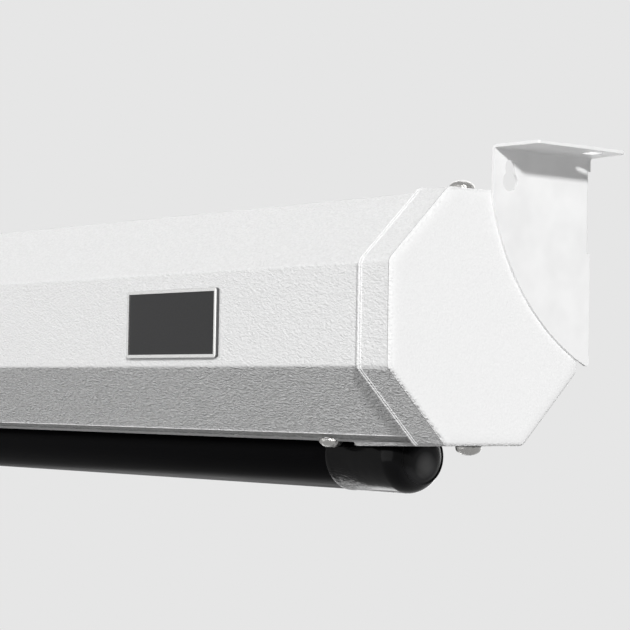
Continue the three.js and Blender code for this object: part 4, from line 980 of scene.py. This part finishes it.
seats = [
    # node, name, shank, place of the washer face at the right end, turn
    ("cap_screw_top_{}", "capScrewTop{}", 8,
     (endCap["screwX"], endCap["topScrewY"], endCap["topSeatZ"]), (0, 0, 0.5)),
    ("cap_screw_bottom_{}", "capScrewBottom{}", 9,
     (endCap["screwX"], endCap["bottomScrewY"], endCap["bottomSeatZ"]), (math.pi, 0, 1.1)),
    ("lip_screw_{}", "lipScrew{}", 6,
     (hem["screwX"], hem["middleY"] - hem["screwY"], hem["seatZ"]), (math.pi, 0, 0.2)),
]
motorSeat = {"x": -1028, "z": -54.9, "frontY": -89.5, "backY": -59.5, "shank": 9}
for node, name, length, (x, y, z), turn in seats:
    model = makePanScrew(panScrew, length)
    for side, word in ((1, "right"), (-1, "left")):
        screw = twinOf(model, name.format(word.title()), at(side * x, y, z), turn)
        dress(screw, finish["nickel"], "case", "nickel_steel", node.format(word))
    bpy.data.objects.remove(model)
model = makePanScrew(panScrew, motorSeat["shank"])
for side in ("front", "back"):
    screw = twinOf(model, "motorScrew" + side.title(),
                   at(motorSeat["x"], motorSeat[side + "Y"], motorSeat["z"]), (0, -math.pi / 2, 0))
    dress(screw, finish["nickel"], "case", "nickel_steel", "motor_screw_" + side)
bpy.data.objects.remove(model)
print("screws driven")

# Bare plate on the front: pressed rim round a sunk dark field
barePlate = {
    "x": 911.0, "y": -101.8, "z": -67.5, "width": 63.0, "height": 28.3, "cornerCut": 1.3,
    "thick": 1.7, "edge": 0.3, "border": 1.4, "sunk": 0.4,
}


def makeBarePlate(v):
    halfWidth, halfHeight = v["width"] / 2, v["height"] / 2
    plate = drawOutline([at(v["x"] + i * halfWidth, v["y"], v["z"] + j * halfHeight)
                         for i, j in ((-1, -1), (1, -1), (1, 1), (-1, 1))],
                        "barePlate", v["cornerCut"], (0, -1, 0))
    editAll(plate)
    pushOn(at(0, v["edge"] - v["thick"], 0))
    # the rounded edge in two steps, steep and then flat
    drawIn(v["edge"] * 0.3, v["edge"] * 0.7)
    drawIn(v["edge"] * 0.7, v["edge"] * 0.3)
    leave()
    faceOut(plate)
    halfWidth, halfHeight = halfWidth - v["border"], halfHeight - v["border"]
    front = v["y"] - v["thick"]
    cutWith(plate, block(at(v["x"] - halfWidth, front - 1, v["z"] - halfHeight),
                         at(v["x"] + halfWidth, front + v["sunk"], v["z"] + halfHeight)))
    smooth(plate, 35)
    dress(plate, finish["rim"], "case", "nickel_steel")
    plate.data.materials.append(finish["field"])
    plate.data.materials.append(finish["plateSide"])
    for face in plate.data.polygons:
        if face.normal.y < -0.9 and face.area * 1e6 > v["width"] * v["height"] / 2:
            face.material_index = 1
        # the plate's sides get the dark grey of the painted shade
        if abs(face.normal.y) < 0.1 and face.center.y * 1000 > front + v["sunk"]:
            face.material_index = 2
    return plate


makeBarePlate(barePlate)
print("plate pressed")

# Vinyl cap over the bar's end: rounded nose with a ring line, long sleeve with a beaded mouth. The ring
# is drawn by turns in radians from its line and shares of its step, the sleeve by depths and radii.
barCap = {
    "noseX": 1011.7, "axisY": -50.6, "axisZ": -119.7, "radius": 14.7, "length": 45.0, "fillet": 11.0,
    "ringAngle": 49, "ringStep": 0.6, "ring": ((0.015, 0.3), (0, 0), (-0.015, 0.3), (-0.03, 0.8)),
    "ringHalf": 0.03, "noseSteps": 8, "bore": 14.4, "boreSteps": 4, "noseWall": 2.0,
    "sleeve": ((20, 14.66), (32, 14.58), (41.5, 14.58), (42.6, 14.7), (44.6, 14.7), (45.0, 14.55)),
    "keyway": 2.4, "keywayFloor": 13.1, "rounds": 72,
}


def makeBarCap(v):
    line, radius, fillet = math.radians(v["ringAngle"]), v["radius"], v["fillet"]
    ringTop, ringFoot = line + v["ringHalf"], line - v["ringHalf"]

    def onNose(turn, sunk=0):
        reach = fillet - sunk
        return fillet - reach * math.sin(turn), radius - fillet + reach * math.cos(turn)

    profile = [(v["ringStep"], 0)]
    for k in range(v["noseSteps"] + 1):
        share = k / v["noseSteps"]
        profile.append(onNose(math.pi / 2 * (1 - share) + ringTop * share, v["ringStep"]))
    for turn, sunk in v["ring"]:
        profile.append(onNose(line + turn, v["ringStep"] * sunk))
    lastSunk = v["ring"][-1][1]
    for k in range(1, v["noseSteps"] + 1):
        share = k / v["noseSteps"]
        profile.append(onNose(ringFoot * (1 - share), v["ringStep"] * lastSunk * (1 - share)))
    profile += [*v["sleeve"], (v["length"], v["bore"]), (fillet, v["bore"])]
    inner = fillet - v["noseWall"]
    for k in range(1, v["boreSteps"] + 1):
        turn = math.pi / 2 * k / v["boreSteps"]
        profile.append((fillet - inner * math.sin(turn), v["bore"] - inner + inner * math.cos(turn)))
    profile.append((v["noseWall"], 0))
    cap = drawChain([at(v["noseX"] - a, v["axisY"], v["axisZ"] + r) for a, r in profile], "barCapRight")
    editAll(cap)
    bpy.ops.mesh.spin(steps=v["rounds"], angle=math.tau, axis=(1, 0, 0),
                      center=at(0, v["axisY"], v["axisZ"]))
    bpy.ops.mesh.select_all(action="SELECT")
    bpy.ops.mesh.remove_doubles(threshold=0.000005)
    leave()
    faceOut(cap)
    half, low = v["keyway"] / 2, v["axisZ"] + v["keywayFloor"]
    cutWith(cap, block(at(v["noseX"] - v["length"] - 1, v["axisY"] - half, low),
                       at(v["noseX"] - fillet, v["axisY"] + half, v["axisZ"] + radius + 1)))
    return cap


barCapRight = makeBarCap(barCap)
barCapLeft = twinOf(barCapRight, "barCapLeft", flip=-1)
for cap, node in ((barCapRight, "bar_cap_right"), (barCapLeft, "bar_cap_left")):
    smooth(cap, 30)
    dress(cap, finish["vinyl"], "weight_bar", "bar_cap_plastic", node)
print("bar caps dipped")


def sheetFrom(points, name, v):
    # a line of cloth drawn in the YZ plane, pulled across its width and given its thickness
    cloth = drawChain([at(-v["width"] / 2, y, z) for y, z in points], name)
    pull(cloth, at(v["width"], 0, 0), v["strips"])
    addModifier(cloth, "SOLIDIFY", thickness=v["thick"] / 1000, offset=0)
    smooth(cloth, 40)
    return cloth


def makeRoll(v):
    # wound on the roller, its outer end leaving downwards on the side of the slot
    count = round(v["turns"] * v["stepsPerTurn"])
    line = []
    for k in range(count + 1):
        turn = math.tau * (count - k) / v["stepsPerTurn"]
        radius = v["rollInner"] + (v["rollOuter"] - v["rollInner"]) * k / count
        line.append((v["rollerY"] + radius * math.cos(turn), v["rollerZ"] + radius * math.sin(turn)))
    return sheetFrom(line, "fabricRoll", v)


def dropShare(height, v):
    # how far down the free cloth a height lies, and how much of the bar's travel it takes
    part = min(max((v["dropFrom"] - height) / (v["dropFrom"] - v["dropTo"]), 0), 1)
    return part, part * part * (3 - 2 * part)


def makeDrop(v):
    # rows set closer together where the joint's blend will spread them further apart
    rows = []
    for k in range(v["dropRows"] + 1):
        share = k / v["dropRows"]
        # the blend's smooth step turned round
        part = 0.5 - math.sin(math.asin(1 - 2 * share) / 3)
        rows.append((v["dropY"], v["dropFrom"] + part * (v["dropTo"] - v["dropFrom"])))
    cloth = sheetFrom(rows, "fabricDrop", v)
    chart = cloth.data.uv_layers.new(name="drawn")
    for loop in cloth.data.loops:
        spot = cloth.data.vertices[loop.vertex_index].co * 1000
        part, share = dropShare(spot.z, v)
        down = part * (v["dropFrom"] - v["dropTo"]) + share * v["travel"]
        chart.data[loop.index].uv = (spot.x / 1000, down / 1000)
    return cloth


def makeHem(v):
    # sleeve round the rod, its two edges sewn together under the free cloth
    edgeZ = v["dropTo"] + v["hemLap"]
    line = [(v["dropY"] - v["hemApart"], edgeZ)]
    for k in range(v["hemSteps"] + 1):
        turn = math.radians(v["hemFrom"] + v["hemSweep"] * k / v["hemSteps"])
        out, up = v["hemRadius"] * math.cos(turn), v["hemRadius"] * math.sin(turn)
        line.append((v["dropY"] + out, v["hemZ"] + up))
    line.append((v["dropY"] + v["hemApart"], edgeZ))
    return sheetFrom(line, "fabricHem", v)


fabricRoll = dress(makeRoll(fabric), finish["hem"], "roller", "screen_fabric", "fabric_roll")
fabricHem = dress(makeHem(fabric), finish["hem"], "weight_bar", "black_fabric", "fabric_hem")
fabricDrop = makeDrop(fabric)
fabricDrop.data.materials.append(finish["screen"])
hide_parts("fabric_drop")
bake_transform(fabricDrop)
print("cloth wound and hung")
